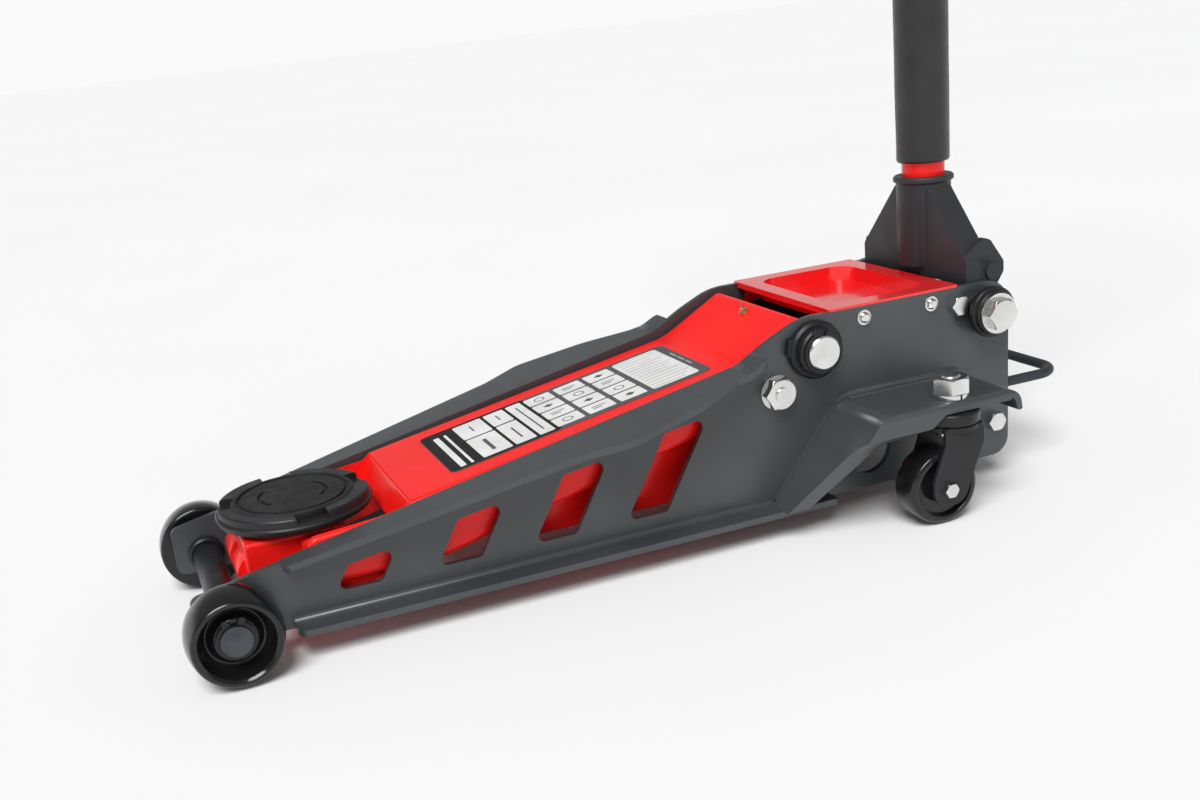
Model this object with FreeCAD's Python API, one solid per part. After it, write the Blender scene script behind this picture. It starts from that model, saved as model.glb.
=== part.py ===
"""Low-profile trolley jack: two flanged side plates, a hydraulic lift arm, a saddle kept level by
parallel link bars, two front rollers, two rear swivel casters and a long pump handle.

Dimensions are millimetres. Everything is laid out from the front axle: x runs back towards the
handle, y to the far side and z up from the floor. Each piece is written shifted by -BOX_MID_X, so
the finished part's origin is the middle of its bounding box, at floor level.
"""

import FreeCAD
import Part
import os
from math import acos, asin, atan2, cos, degrees, pi, radians, sin, sqrt, tan

V = FreeCAD.Vector

# ---- driving dimensions -------------------------------------------------------------------------
FIT = 0.06                      # radial clearance of a running fit
SEAT = 0.1                      # radial clearance round a fastener
MIRROR_SIDES = (-1, 1)          # near side, far side

PLATE_THICK = 5.0
PLATE_OUT = 79.5                # outer face of each side plate, from the centre plane
PLATE_IN = PLATE_OUT - PLATE_THICK
PLATE_NOSE_X = -29.0
PLATE_REAR_X = 665.0
PLATE_LOW_Z = 20.5
PLATE_TOP_Z = 174.4
RAIL_Z0, RAIL_SLOPE = 66.0, 0.195   # the long sloping top edge: z = RAIL_Z0 + RAIL_SLOPE * x
CREST_X, CREST_R = 490.0, 100.0     # the rounded rise from the sloping rail up to the level top

SLOT_PITCH, SLOT_FIRST_X, SLOT_COUNT = 77.2, 73.0, 4
SLOT_LOW_Z, SLOT_WIDTH, SLOT_LEAN = 40.5, 35.0, 0.58
SLOT_TOP_Z0, SLOT_TOP_SLOPE = 44.5, 0.18
LIGHTENING_X, LIGHTENING_Z, LIGHTENING_R = 525.0, 53.0, 21.0

AXLE_X, AXLE_Z, AXLE_R, AXLE_END = -4.1, 35.2, 11.4, 111.0
WHEEL_R, WHEEL_IN, WHEEL_OUT = 35.2, 85.5, 117.0

PIVOT_X, PIVOT_Z, PIVOT_R, PIVOT_END = 477.0, 147.5, 13.8, 97.5
LINK_X, LINK_Z, LINK_R = 441.0, 119.0, 6.0
LINK_IN, LINK_OUT, LINK_HALF = 60.0, 65.0, 9.0

ARM_IN, ARM_OUT = 66.0, 71.0
ARM_FRONT_X, ARM_FRONT_Z, ARM_SLOPE = 139.0, 92.6, 0.176
ARM_BEND_X, ARM_REAR_X, ARM_REAR_Z = 414.0, 474.0, 174.0
ARM_LOW_Z0, ARM_LOW_SLOPE = 9.0, 0.215
PIN_X, PIN_Z, PIN_R = 76.0, 60.0, 8.0
EYE_R = 16.0
ARCH_IN, ARCH_OUT = 36.0, 57.0      # window in the arm's walls that the link bolts pass through

SADDLE_X, SADDLE_R, SADDLE_TOP, SADDLE_LOW = 63.5, 60.0, 95.0, 81.0

RAM_Z, RAM_R, PISTON_R, BORE_R = 77.0, 14.0, 19.94, 20.0
CRANK_R, CRANK_START = 75.0, 30.0   # lug radius about the main pivot, degrees behind straight down
LIFT_DEG = 60.0
ROLLER_R, ROLLER_HALF = 13.0, 15.0
RAM_GAP = 0.8                       # the open contact between ram head and roller, at rest

HANDLE_X, HANDLE_Z = 640.0, 151.0   # pivot of the handle socket, and the handle's own axis
HANDLE_BOLT_R = 8.0
TUBE_R, TUBE_WALL = 17.9, 2.0
SOCKET_R, SOCKET_TOP = 23.0, 252.0
PUMP_CRANK_R, PUMP_HALF_SWING = 16.0, 35.0
PUMP_Y, PUMP_Z, PLUNGER_R = 26.0, 136.5, 6.0

CASTER_X, CASTER_Y, CASTER_R = 569.0, 129.0, 31.0
CASTER_TRAIL = 15.0
BRACKET_TOP, BRACKET_THICK, BRACKET_OUT = 101.5, 5.0, 146.0
BRACKET_REAR_X = 625.5

TRAY_FRONT_X, TRAY_REAR_X, TRAY_TOP = 492.5, 615.0, 176.4
LOOP_REAR_X, LOOP_Z, LOOP_R, LOOP_Y = 732.0, 80.0, 4.3, 70.0

BOX_MID_X = (LOOP_REAR_X + AXLE_X - WHEEL_R) / 2


# ---- small shape helpers ------------------------------------------------------------------------
def box(x0, x1, y0, y1, z0, z1):
    return Part.makeBox(x1 - x0, y1 - y0, z1 - z0, V(x0, y0, z0))


def rod_x(y, z, x0, x1, r):
    return Part.makeCylinder(r, x1 - x0, V(x0, y, z), V(1, 0, 0))


def rod_y(x, z, y0, y1, r):
    return Part.makeCylinder(r, y1 - y0, V(x, y0, z), V(0, 1, 0))


def rod_z(x, y, z0, z1, r):
    return Part.makeCylinder(r, z1 - z0, V(x, y, z0), V(0, 0, 1))


def rounded_wire(corners, place):
    """A closed wire through (u, v, radius) corners. place(u, v) gives the point in space."""
    edges = []
    previous = None
    first = None
    count = len(corners)
    for i, (u, v, r) in enumerate(corners):
        before = corners[i - 1]
        after = corners[(i + 1) % count]
        here = V(u, v, 0)
        back = (V(before[0], before[1], 0) - here).normalize()
        ahead = (V(after[0], after[1], 0) - here).normalize()
        if r > 0:
            half = acos(max(-1.0, min(1.0, back.dot(ahead)))) / 2
            reach = r / tan(half)
            start = here + back * reach
            end = here + ahead * reach
            middle = here + (back + ahead).normalize() * (r / sin(half) - r)
        else:
            start = end = here
        if previous is not None and (start - previous).Length > 1e-6:
            edges.append(Part.LineSegment(place(previous.x, previous.y), place(start.x, start.y)).toShape())
        if r > 0:
            arc = Part.Arc(place(start.x, start.y), place(middle.x, middle.y), place(end.x, end.y))
            edges.append(arc.toShape())
        if first is None:
            first = start
        previous = end
    if (first - previous).Length > 1e-6:
        edges.append(Part.LineSegment(place(previous.x, previous.y), place(first.x, first.y)).toShape())
    return Part.Wire(edges)


def side_slab(corners, y0, y1):
    """A side-view outline of (x, z, radius) corners, thick from y0 to y1."""
    wire = rounded_wire(corners, lambda x, z: V(x, y0, z))
    return Part.Face(wire).extrude(V(0, y1 - y0, 0))


def plan_slab(corners, z0, z1):
    """A top-view outline of (x, y, radius) corners, thick from z0 to z1."""
    wire = rounded_wire(corners, lambda x, y: V(x, y, z0))
    return Part.Face(wire).extrude(V(0, 0, z1 - z0))


def front_slab(corners, x0, x1):
    """A front-view outline of (y, z, radius) corners, thick from x0 to x1."""
    wire = rounded_wire(corners, lambda y, z: V(x0, y, z))
    return Part.Face(wire).extrude(V(x1 - x0, 0, 0))


def turned_y(x, z, profile, side=1):
    """A turned solid about the cross axis at (x, z). profile is (distance out, radius) corners."""
    points = [V(x, side * y, z + r) for y, r in profile]
    face = Part.Face(Part.makePolygon(points + points[:1]))
    return face.revolve(V(x, 0, z), V(0, 1, 0), 360)


def turned_z(x, y, profile):
    """A turned solid about the upright axis at (x, y). profile is (radius, height) corners."""
    points = [V(x + r, y, z) for r, z in profile]
    face = Part.Face(Part.makePolygon(points + points[:1]))
    return face.revolve(V(x, y, 0), V(0, 0, 1), 360)


def turned_x(y, z, profile):
    """A turned solid about a lengthwise axis at (y, z). profile is (x, radius) corners."""
    points = [V(x, y, z + r) for x, r in profile]
    face = Part.Face(Part.makePolygon(points + points[:1]))
    return face.revolve(V(0, y, z), V(1, 0, 0), 360)


def hexagon(across_flats, height):
    """A hexagon head along +Z from the origin, its outer corners chamfered."""
    corner = across_flats / sqrt(3)
    points = [V(corner * cos(radians(60 * i)), corner * sin(radians(60 * i)), 0) for i in range(6)]
    body = Part.Face(Part.makePolygon(points + points[:1])).extrude(V(0, 0, height))
    rim = across_flats / 2 * 0.98
    drop = (corner - rim) * 0.6
    cone = turned_z(0, 0, [(0, 0), (corner + 1, 0), (corner + 1, height - drop - 0.6), (rim, height), (0, height)])
    return body.common(cone)


def along(shape, place, direction):
    """A shape built along +Z from the origin, put at place and pointing along direction."""
    moved = shape.copy()
    moved.Placement = FreeCAD.Placement(V(*place), FreeCAD.Rotation(V(0, 0, 1), V(*direction)))
    return moved


def other_side(shape):
    return shape.mirror(V(0, 0, 0), V(0, 1, 0))


def both(shape):
    """The far-side shape and its near-side mirror image, as separate solids."""
    return [shape, other_side(shape)]


def joined(first, *others):
    return first.fuse(list(others)).removeSplitter()


def softened(shape, radius, chosen):
    """The shape with the edges that chosen(edge) accepts rounded off."""
    return shape.makeFillet(radius, [e for e in shape.Edges if chosen(e)])


def rail_z(x):
    return RAIL_Z0 + RAIL_SLOPE * x


def about(x, z, radius, angle_deg):
    """A point at an angle round (x, z) in side view, measured from +x towards +z."""
    return x + radius * cos(radians(angle_deg)), z + radius * sin(radians(angle_deg))


# ---- chassis ------------------------------------------------------------------------------------
def crest_z(x):
    """Height of the rounded crest that leads from the rail to the level top of a side plate."""
    return PLATE_TOP_Z - CREST_R + sqrt(CREST_R ** 2 - (CREST_X - x) ** 2)


def plate_top(drop):
    """The side plate's top edge from the nose to the crest, lowered by drop, as corners."""
    foot_x = 409.0
    shoulder_x = 436.0
    return [
        (foot_x, rail_z(foot_x) - drop, 26.0),
        (shoulder_x, crest_z(shoulder_x) + 2.0 - drop, 60.0),
        (CREST_X - 23.0, PLATE_TOP_Z - drop, 60.0),
    ]


def slot(index):
    """One of the leaning windows in a side plate, each a pitch further back and taller."""
    x = SLOT_FIRST_X + SLOT_PITCH * index
    top_left = SLOT_TOP_Z0 + SLOT_TOP_SLOPE * (x + 8 + 8 * index)
    top_right = top_left + SLOT_TOP_SLOPE * SLOT_WIDTH
    lean_left = SLOT_LEAN * (top_left - SLOT_LOW_Z)
    lean_right = SLOT_LEAN * (top_right - SLOT_LOW_Z)
    corners = [
        (x, SLOT_LOW_Z, 5.0),
        (x + SLOT_WIDTH, SLOT_LOW_Z, 6.0),
        (x + SLOT_WIDTH + lean_right, top_right, 6.0),
        (x + lean_left, top_left, 5.0),
    ]
    return side_slab(corners, PLATE_IN - 1, PLATE_OUT + 1)


def side_plate():
    """Far side plate: a web with flanges turned outwards along its top rail and its foot."""
    outline = [
        (PLATE_NOSE_X, PLATE_LOW_Z, 8.0),
        (PLATE_NOSE_X, rail_z(PLATE_NOSE_X) - 0.5, 7.0),
        *plate_top(0),
        (PLATE_REAR_X, PLATE_TOP_Z, 22.0),
        (PLATE_REAR_X, PLATE_LOW_Z, 16.0),
    ]
    web = side_slab(outline, PLATE_IN, PLATE_OUT)

    flange_start, flange_end = 38.0, 424.0
    strip = [
        (flange_start, rail_z(flange_start), 0),
        *plate_top(0)[:2],
        (flange_end + 30, 190, 0),
        (flange_end + 30, 160, 0),
        (plate_top(0)[1][0] + 1.5, plate_top(PLATE_THICK)[1][1] - 1.5, 60.0),
        (plate_top(0)[0][0] + 1.0, plate_top(PLATE_THICK)[0][1], 31.0),
        (flange_start, rail_z(flange_start) - PLATE_THICK, 0),
    ]
    plan = [
        (flange_start, PLATE_IN, 0),
        (flange_start, PLATE_OUT + 12.5, 6.0),
        (262.0, 119.0, 30.0),
        (296.0, 132.5, 26.0),
        (357.0, 121.0, 60.0),
        (397.0, 104.0, 20.0),
        (flange_end, 101.0, 4.0),
        (flange_end, PLATE_IN, 0),
    ]
    top_flange = side_slab(strip, PLATE_IN, 140.0).common(plan_slab(plan, 40.0, 200.0))

    foot_plan = [(40.0, PLATE_IN, 0), (40.0, 100.0, 9.0), (482.0, 100.0, 3.0), (482.0, PLATE_IN, 0)]
    foot_flange = plan_slab(foot_plan, PLATE_LOW_Z, PLATE_LOW_Z + PLATE_THICK)
    bend = side_slab([(40.0, PLATE_LOW_Z + 4.9, 0), (482.0, PLATE_LOW_Z + 4.9, 0),
                      (482.0, PLATE_LOW_Z + 9, 0), (40.0, PLATE_LOW_Z + 9, 0)], PLATE_OUT - 0.1, PLATE_OUT + 4)
    bend = bend.cut(rod_x(PLATE_OUT + 4, PLATE_LOW_Z + 9, 39.0, 483.0, 4.0))
    plate = joined(web, top_flange, foot_flange, bend)

    holes = [slot(i) for i in range(SLOT_COUNT)]
    drilled = [
        (LIGHTENING_X, LIGHTENING_Z, LIGHTENING_R),
        (AXLE_X, AXLE_Z, AXLE_R + SEAT),
        (PIVOT_X, PIVOT_Z, PIVOT_R + SEAT),
        (LINK_X, LINK_Z, LINK_R + SEAT),
        (HANDLE_X, HANDLE_Z, HANDLE_BOLT_R + SEAT),
        *[(x, z, FRAME_BOLT_R + SEAT) for x, z in FRAME_BOLTS],
        *[(x, TRAY_SCREW_Z, TRAY_SCREW_R + SEAT) for x in TRAY_SCREWS],
    ]
    for x, z, r in drilled:
        holes.append(rod_y(x, z, PLATE_IN - 1, PLATE_OUT + 1, r))
    return plate.cut(holes).removeSplitter()


FRAME_BOLT_R = 4.0
FRAME_BOLTS = [(613.5, 159.7), (649.5, 52.2)]
TRAY_SCREW_R, TRAY_SCREW_Z = 2.5, 165.0
TRAY_SCREWS = [524.0, 588.0]


def front_axle():
    groove = turned_y(AXLE_X, AXLE_Z, [(107.4, 10.2), (108.8, 10.2), (108.8, 12), (107.4, 12)])
    bar = rod_y(AXLE_X, AXLE_Z, -AXLE_END, AXLE_END, AXLE_R)
    return bar.cut([groove, other_side(groove)])


def axle_spacers():
    """Collars inside the plates and thrust washers between the plates and the wheels."""
    collar = turned_y(AXLE_X, AXLE_Z, [(67.5, AXLE_R + SEAT), (67.5, 13), (69, 14.5), (PLATE_IN, 14.5),
                                  (PLATE_IN, AXLE_R + SEAT)])
    washer = turned_y(AXLE_X, AXLE_Z, [(PLATE_OUT, AXLE_R + SEAT), (PLATE_OUT, 15), (83.6, 15),
                                  (83.6, AXLE_R + SEAT)])
    return Part.makeCompound(both(collar) + both(washer))


def circlip(x, z, y0, y1, inner, outer, gap_deg):
    """A retaining ring with two ears beside its gap."""
    ring = turned_y(x, z, [(y0, inner), (y1, inner), (y1, outer), (y0, outer)])
    ears = []
    for sign in (-1, 1):
        ex, ez = about(x, z, outer + 1.0, 90 + sign * (gap_deg + 12))
        ears.append(rod_y(ex, ez, y0, y1, 2.4))
    ring = joined(ring, *ears)
    reach = outer + 6
    wedge = [(x, z, 0)]
    wedge += [(*about(x, z, reach, 90 + sign * gap_deg), 0) for sign in (-1, 1)]
    return ring.cut(side_slab(wedge, y0 - 1, y1 + 1))


def circlips():
    """Retaining rings at both ends of the front axle and of the main pivot shaft."""
    axle_ring = circlip(AXLE_X, AXLE_Z, 107.5, 108.7, 10.3, 14.2, 11)
    pivot_ring = circlip(PIVOT_X, PIVOT_Z, 93.2, 94.6, 12.7, 16.6, 10)
    return Part.makeCompound(both(axle_ring) + both(pivot_ring))


def front_wheel():
    """Far front roller: crowned tread, dished outer face and a raised hub."""
    x, z, bore = AXLE_X, AXLE_Z, AXLE_R + FIT
    inner = [(84.0, bore), (84.0, 16.5), (WHEEL_IN, 18.0), (WHEEL_IN, 33.2)]
    crown = Part.Arc(V(x, WHEEL_IN + 1.0, z + 34.6), V(x, 94.0, z + WHEEL_R), V(x, WHEEL_OUT - 1.2, z + 32.0))
    outer = [(WHEEL_OUT, 30.8), (WHEEL_OUT, 28.6), (WHEEL_OUT - 2, 26.6), (104.0, 24.2), (99.5, 22.6),
             (98.5, 20.5), (100.0, 18.0), (104.5, 17.0), (106.2, 16.2), (106.8, 15.2), (106.8, bore)]
    points = [V(x, y, z + r) for y, r in inner]
    lip_points = [V(x, y, z + r) for y, r in outer]
    edges = [Part.makePolygon(points + [crown.StartPoint]), crown.toShape(),
             Part.makePolygon([crown.EndPoint] + lip_points + points[:1])]
    wire = Part.Wire([e for part in edges for e in part.Edges])
    return Part.Face(wire).revolve(V(x, 0, z), V(0, 1, 0), 360)


def main_pivot_shaft():
    groove = turned_y(PIVOT_X, PIVOT_Z, [(93.1, 12.6), (94.7, 12.6), (94.7, 15), (93.1, 15)])
    profile = [(0, 0), (0, PIVOT_R), (PIVOT_END - 1.2, PIVOT_R), (PIVOT_END, PIVOT_R - 1.2), (PIVOT_END, 0)]
    half = turned_y(PIVOT_X, PIVOT_Z, profile)
    return joined(half, other_side(half)).cut([groove, other_side(groove)])


def pivot_bosses():
    """Stepped collars welded outside the plates, round the main pivot shaft."""
    hole = PIVOT_R + SEAT
    boss = turned_y(PIVOT_X, PIVOT_Z, [
        (PLATE_OUT, hole), (PLATE_OUT, 23.5), (84.5, 23.5), (86.5, 21.5), (86.5, 19.2),
        (91.5, 19.2), (93.0, 17.7), (93.0, hole)])
    tab = side_slab([(PIVOT_X - 27, PIVOT_Z - 1, 2), (PIVOT_X - 15, PIVOT_Z - 1, 2),
                     (PIVOT_X - 15, PIVOT_Z + 13, 2), (PIVOT_X - 25, PIVOT_Z + 13, 3)], PLATE_OUT, 85.0)
    tab = tab.cut(rod_y(PIVOT_X, PIVOT_Z, PLATE_OUT - 1, 90, 20))
    return Part.makeCompound(both(joined(boss, tab)))


def hex_bolt_y(x, z, seat_y, tip_y, shank_r, across_flats, head):
    """A hexagon bolt on the far side, its head outside seat_y and its shank inwards to tip_y."""
    cap = along(hexagon(across_flats, head), (x, seat_y, z), (0, 1, 0))
    return joined(cap, rod_y(x, z, tip_y, seat_y + 1, shank_r))


def frame_bolts():
    """Identical bolts that hold the hydraulic unit between the side plates."""
    solids = []
    for x, z in FRAME_BOLTS:
        bolt = hex_bolt_y(x, z, PLATE_OUT, 62.0, FRAME_BOLT_R, 15.0, 7.0)
        solids += both(bolt)
    return Part.makeCompound(solids)


def tray_screws():
    """Pan-head screws with washers through the side plates into the tray's skirts."""
    solids = []
    for x in TRAY_SCREWS:
        screw = turned_y(x, TRAY_SCREW_Z, [
            (71.5, 0), (71.5, TRAY_SCREW_R), (PLATE_OUT, TRAY_SCREW_R), (PLATE_OUT, 6.2),
            (PLATE_OUT + 1.2, 6.2), (PLATE_OUT + 1.2, 4.6), (PLATE_OUT + 3.4, 4.2), (PLATE_OUT + 4.4, 2.8),
            (PLATE_OUT + 4.4, 0)])
        solids += both(screw)
    return Part.makeCompound(solids)


def tool_tray():
    """Pressed tray over the plates: a flat rim, a dished well and skirts down inside the plates."""
    sheet = 2.0
    low = TRAY_TOP - sheet
    rim = plan_slab([(TRAY_FRONT_X, -PLATE_OUT, 2), (TRAY_REAR_X, -PLATE_OUT, 2),
                     (TRAY_REAR_X, PLATE_OUT, 2), (TRAY_FRONT_X, PLATE_OUT, 2)], low, TRAY_TOP)
    well_x0, well_x1, well_y, well_z = TRAY_FRONT_X + 15, TRAY_REAR_X - 17, 63.0, 163.5

    def well(grow, z0, z1):
        corners = [(well_x0 - grow, -well_y - grow, 17 + grow), (well_x1 + grow, -well_y - grow, 17 + grow),
                   (well_x1 + grow, well_y + grow, 17 + grow), (well_x0 - grow, well_y + grow, 17 + grow)]
        return plan_slab(corners, z0, z1)

    cup = well(sheet, well_z - sheet, low + 0.1).cut(well(0, well_z, TRAY_TOP + 1))
    lip = box(TRAY_FRONT_X, TRAY_FRONT_X + sheet, -71.8, 71.8, 171.5, low + 0.1)
    skirt = box(TRAY_FRONT_X + 8, 600.0, PLATE_IN - 2.3, PLATE_IN - 0.2, 157.0, low + 0.1)
    for x in TRAY_SCREWS:
        skirt = skirt.cut(rod_y(x, TRAY_SCREW_Z, 70, 76, TRAY_SCREW_R + SEAT))
    rim = rim.cut(well(0, low - 1, TRAY_TOP + 1))
    return joined(rim, cup, lip, skirt, other_side(skirt))


def carry_handle():
    """Bent rod across the back of the chassis, its legs welded inside the side plates."""
    cross_x = LOOP_REAR_X - LOOP_R
    bend = 22.0
    start = V(641, -LOOP_Y, LOOP_Z)
    points = [start, V(cross_x - bend, -LOOP_Y, LOOP_Z), V(cross_x, -LOOP_Y + bend, LOOP_Z),
              V(cross_x, LOOP_Y - bend, LOOP_Z), V(cross_x - bend, LOOP_Y, LOOP_Z), V(641, LOOP_Y, LOOP_Z)]
    toward = bend * (1 - sin(pi / 4))
    near_mid = V(cross_x - toward, -LOOP_Y + toward, LOOP_Z)
    far_mid = V(cross_x - toward, LOOP_Y - toward, LOOP_Z)
    path = Part.Wire([
        Part.LineSegment(points[0], points[1]).toShape(),
        Part.Arc(points[1], near_mid, points[2]).toShape(),
        Part.LineSegment(points[2], points[3]).toShape(),
        Part.Arc(points[3], far_mid, points[4]).toShape(),
        Part.LineSegment(points[4], points[5]).toShape(),
    ])
    section = Part.Wire(Part.Circle(start, V(1, 0, 0), LOOP_R).toShape())
    return path.makePipeShell([section], True, False)


def caster_bracket():
    """Far caster wing: one pressed sheet with a turned-down outer lip, its leg slanting to the foot flange."""
    low = BRACKET_TOP - BRACKET_THICK
    foot_z = PLATE_LOW_Z + PLATE_THICK + 0.2
    rear, lip_y, lip_z = BRACKET_REAR_X, BRACKET_OUT - 4.5, BRACKET_TOP - 8.5
    curl_z = low - 13.0

    def leg(rise):
        return [(431.0, foot_z, 0), (497.0 + rise * 0.3, BRACKET_TOP + rise, 16.0)]

    outline = [*leg(0), (rear - 3, BRACKET_TOP, 13.0), (rear, curl_z, 1.5), (rear - 5, curl_z, 1.5),
               (rear - 8, low, 8.0), (500.0, low, 11.0), (438.0, foot_z, 0)]
    sheet = side_slab(outline, PLATE_OUT, BRACKET_OUT)
    upstand = side_slab([*leg(5.5), (rear - 14, BRACKET_TOP + 5.5, 3.0), (rear - 10, low, 0), (500.0, low, 0),
                         (438.0, foot_z, 0)], PLATE_OUT, PLATE_OUT + 5.0)
    trim = front_slab([(106.0, foot_z - 2, 0), (160.0, foot_z - 2, 0), (160.0, 89.0, 0), (137.0, 81.0, 30.0)],
                      420.0, 500.0)
    lip = side_slab([(530.0, BRACKET_TOP - 1, 0), (rear - 12, BRACKET_TOP - 1, 0), (rear - 7, lip_z, 3.0),
                     (530.0, lip_z, 0)], lip_y, BRACKET_OUT)
    deep = side_slab([*leg(0), (553.0, BRACKET_TOP - 1, 0), (553.0, lip_z, 3.0), (537.0, 82.0, 6.0),
                      (500.0, 77.0, 20.0), (450.0, foot_z, 0)], PLATE_OUT, BRACKET_OUT)
    edge = front_slab([(106.0, foot_z - 2, 0), (137.0, 81.0, 30.0), (BRACKET_OUT, 84.1, 0),
                       (BRACKET_OUT, BRACKET_TOP + 1, 0), (lip_y, BRACKET_TOP + 1, 0), (lip_y, 88.0, 3.0),
                       (133.0, 85.0, 30.0), (100.0, foot_z - 2, 0)], 420.0, 560.0)
    wing = joined(sheet.cut(trim), upstand, lip, deep.common(edge))
    rounded = front_slab([(PLATE_OUT, foot_z - 3, 0), (BRACKET_OUT, foot_z - 3, 0), (BRACKET_OUT, BRACKET_TOP, 4.5),
                          (PLATE_OUT + 5, BRACKET_TOP, 0), (PLATE_OUT + 5, BRACKET_TOP + 5.5, 2.5),
                          (PLATE_OUT, BRACKET_TOP + 5.5, 0)], 420.0, rear + 1)
    wing = wing.common(rounded)
    bend_gap = box(420.0, 450.0, PLATE_OUT, PLATE_OUT + 4.2, foot_z - 1, PLATE_LOW_Z + 9.1)
    return wing.cut([bend_gap, rod_z(CASTER_X, CASTER_Y, 80, 115, 8.1)])


def caster_kingpins():
    pin = turned_z(CASTER_X, CASTER_Y, [(0, 70.5), (12.0, 70.5), (12.0, 76.7), (8.0, 76.7), (8.0, 118.5),
                                        (7.0, 119.5), (0, 119.5)])
    return Part.makeCompound(both(pin))


def caster_nuts():
    nut = along(hexagon(27.0, 12.5), (CASTER_X, CASTER_Y, BRACKET_TOP + 4.2), (0, 0, 1))
    nut = nut.cut(rod_z(CASTER_X, CASTER_Y, 90, 130, 8.0 + SEAT))
    return Part.makeCompound(both(nut))


def caster_lock_washers():
    """Split spring washers under the caster nuts."""
    ring = turned_z(CASTER_X, CASTER_Y, [(8.2, BRACKET_TOP), (14.5, BRACKET_TOP), (14.5, BRACKET_TOP + 4.1),
                                         (8.2, BRACKET_TOP + 4.1)])
    ring = ring.cut(box(CASTER_X - 0.8, CASTER_X + 0.8, CASTER_Y, CASTER_Y + 20, 95, 110))
    return Part.makeCompound(both(ring))


def caster_races():
    """Fixed upper bearing discs between the caster brackets and the swivel forks."""
    low = BRACKET_TOP - BRACKET_THICK
    race = turned_z(CASTER_X, CASTER_Y, [(8.1, 81.4), (21.5, 81.4), (22.5, 82.4), (22.5, 90.3), (21.3, 91.5),
                                         (12.0, 92.3), (12.0, low), (8.1, low)])
    return Part.makeCompound(both(race))


def caster_fork():
    """Far swivel fork: a bearing plate and two broad legs that hold the axle ahead of the pin."""
    axle_x = CASTER_X - CASTER_TRAIL
    gap, leg, end_r, half = 15.0, 3.2, 14.0, 18.0
    reach = gap + leg
    disc = turned_z(CASTER_X, CASTER_Y, [(0, 77.0), (22.0, 77.0), (22.5, 77.5), (22.5, 81.0), (0, 81.0)])
    bridge = plan_slab([(CASTER_X - half, CASTER_Y - reach, 2), (CASTER_X + half, CASTER_Y - reach, 2),
                        (CASTER_X + half, CASTER_Y + reach, 2), (CASTER_X - half, CASTER_Y + reach, 2)],
                       77.0, 80.8)
    outline = [(CASTER_X - half, 80.8, 5), (CASTER_X - half, 68.0, 14), (axle_x - end_r, CASTER_R + 8, 8),
               (axle_x - end_r, CASTER_R - end_r, end_r * 0.98), (axle_x + end_r, CASTER_R - end_r, end_r * 0.98),
               (CASTER_X + half, 66.0, 14), (CASTER_X + half, 80.8, 5)]
    legs = [side_slab(outline, CASTER_Y + gap, CASTER_Y + reach),
            side_slab(outline, CASTER_Y - reach, CASTER_Y - gap)]
    fork = joined(bridge, disc, *legs)
    return fork.cut([rod_z(CASTER_X, CASTER_Y, 70, 90, 8.0 + FIT), rod_y(axle_x, CASTER_R, 100, 160, 5.0 + SEAT)])


def caster_axle():
    """Far caster axle bolt with its nut on the inner side."""
    axle_x = CASTER_X - CASTER_TRAIL
    seat = 18.2
    head = along(hexagon(11.0, 4.5), (axle_x, CASTER_Y + seat, CASTER_R), (0, 1, 0))
    nut = along(hexagon(11.0, 4.5), (axle_x, CASTER_Y - seat, CASTER_R), (0, -1, 0))
    return joined(rod_y(axle_x, CASTER_R, CASTER_Y - seat - 2, CASTER_Y + seat + 2, 5.0), head, nut)


def caster_wheel():
    """Far caster wheel with a rounded tread and a raised hub between recessed faces."""
    axle_x = CASTER_X - CASTER_TRAIL
    half, bore = 13.4, 5.0 + FIT
    side = [(14.6, bore), (14.6, 8.5), (9.0, 9.5), (9.0, 22.0), (half, 24.5), (half, 27.5),
            (half - 1.2, 29.6), (half - 4.0, CASTER_R)]
    profile = [(CASTER_Y + y, r) for y, r in side]
    profile += [(CASTER_Y - y, r) for y, r in reversed(side)]
    return turned_y(axle_x, CASTER_R, profile)


def handle_pivot_bolts():
    """Hexagon bolts that the handle socket swings on, each with a plain washer."""
    bolt = hex_bolt_y(HANDLE_X, HANDLE_Z, 99.4, 62.0, HANDLE_BOLT_R, 24.0, 7.0)
    washer = turned_y(HANDLE_X, HANDLE_Z, [(97.0, HANDLE_BOLT_R + SEAT), (97.0, 16.8), (99.3, 16.8),
                                           (99.3, HANDLE_BOLT_R + SEAT)])
    return Part.makeCompound(both(bolt) + both(washer))


def handle_pivot_spacers():
    """Stepped collars between the side plates and the handle pivot bolts."""
    hole = HANDLE_BOLT_R + SEAT
    collar = turned_y(HANDLE_X, HANDLE_Z, [
        (PLATE_OUT, hole), (PLATE_OUT, 16.0), (87.5, 16.0), (88.5, 21.3), (92.5, 21.3), (93.5, 20.3),
        (93.5, 18.8), (96.0, 18.8), (97.0, 17.8), (97.0, hole)])
    return Part.makeCompound(both(collar))


def link_pivot_bolts():
    """Shoulder bolts that carry the link bars, each with its nut outside the side plate."""
    nut = along(hexagon(24.0, 9.0), (LINK_X, PLATE_OUT + 2.2, LINK_Z), (0, 1, 0))
    collar = rod_y(LINK_X, LINK_Z, PLATE_OUT, PLATE_OUT + 2.3, 14.0)
    shank = rod_y(LINK_X, LINK_Z, LINK_IN - 0.6, PLATE_OUT + 13.0, LINK_R)
    head = rod_y(LINK_X, LINK_Z, LINK_IN - 3.6, LINK_IN - 0.5, 9.0)
    return Part.makeCompound(both(joined(nut, collar, shank, head)))


# ---- hydraulic unit -----------------------------------------------------------------------------
def roller_centre(lift_deg=0.0):
    angle = radians(CRANK_START - lift_deg)
    return PIVOT_X + CRANK_R * sin(angle), PIVOT_Z - CRANK_R * cos(angle)


def ram_face_x():
    return roller_centre()[0] + ROLLER_R + RAM_GAP


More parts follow.
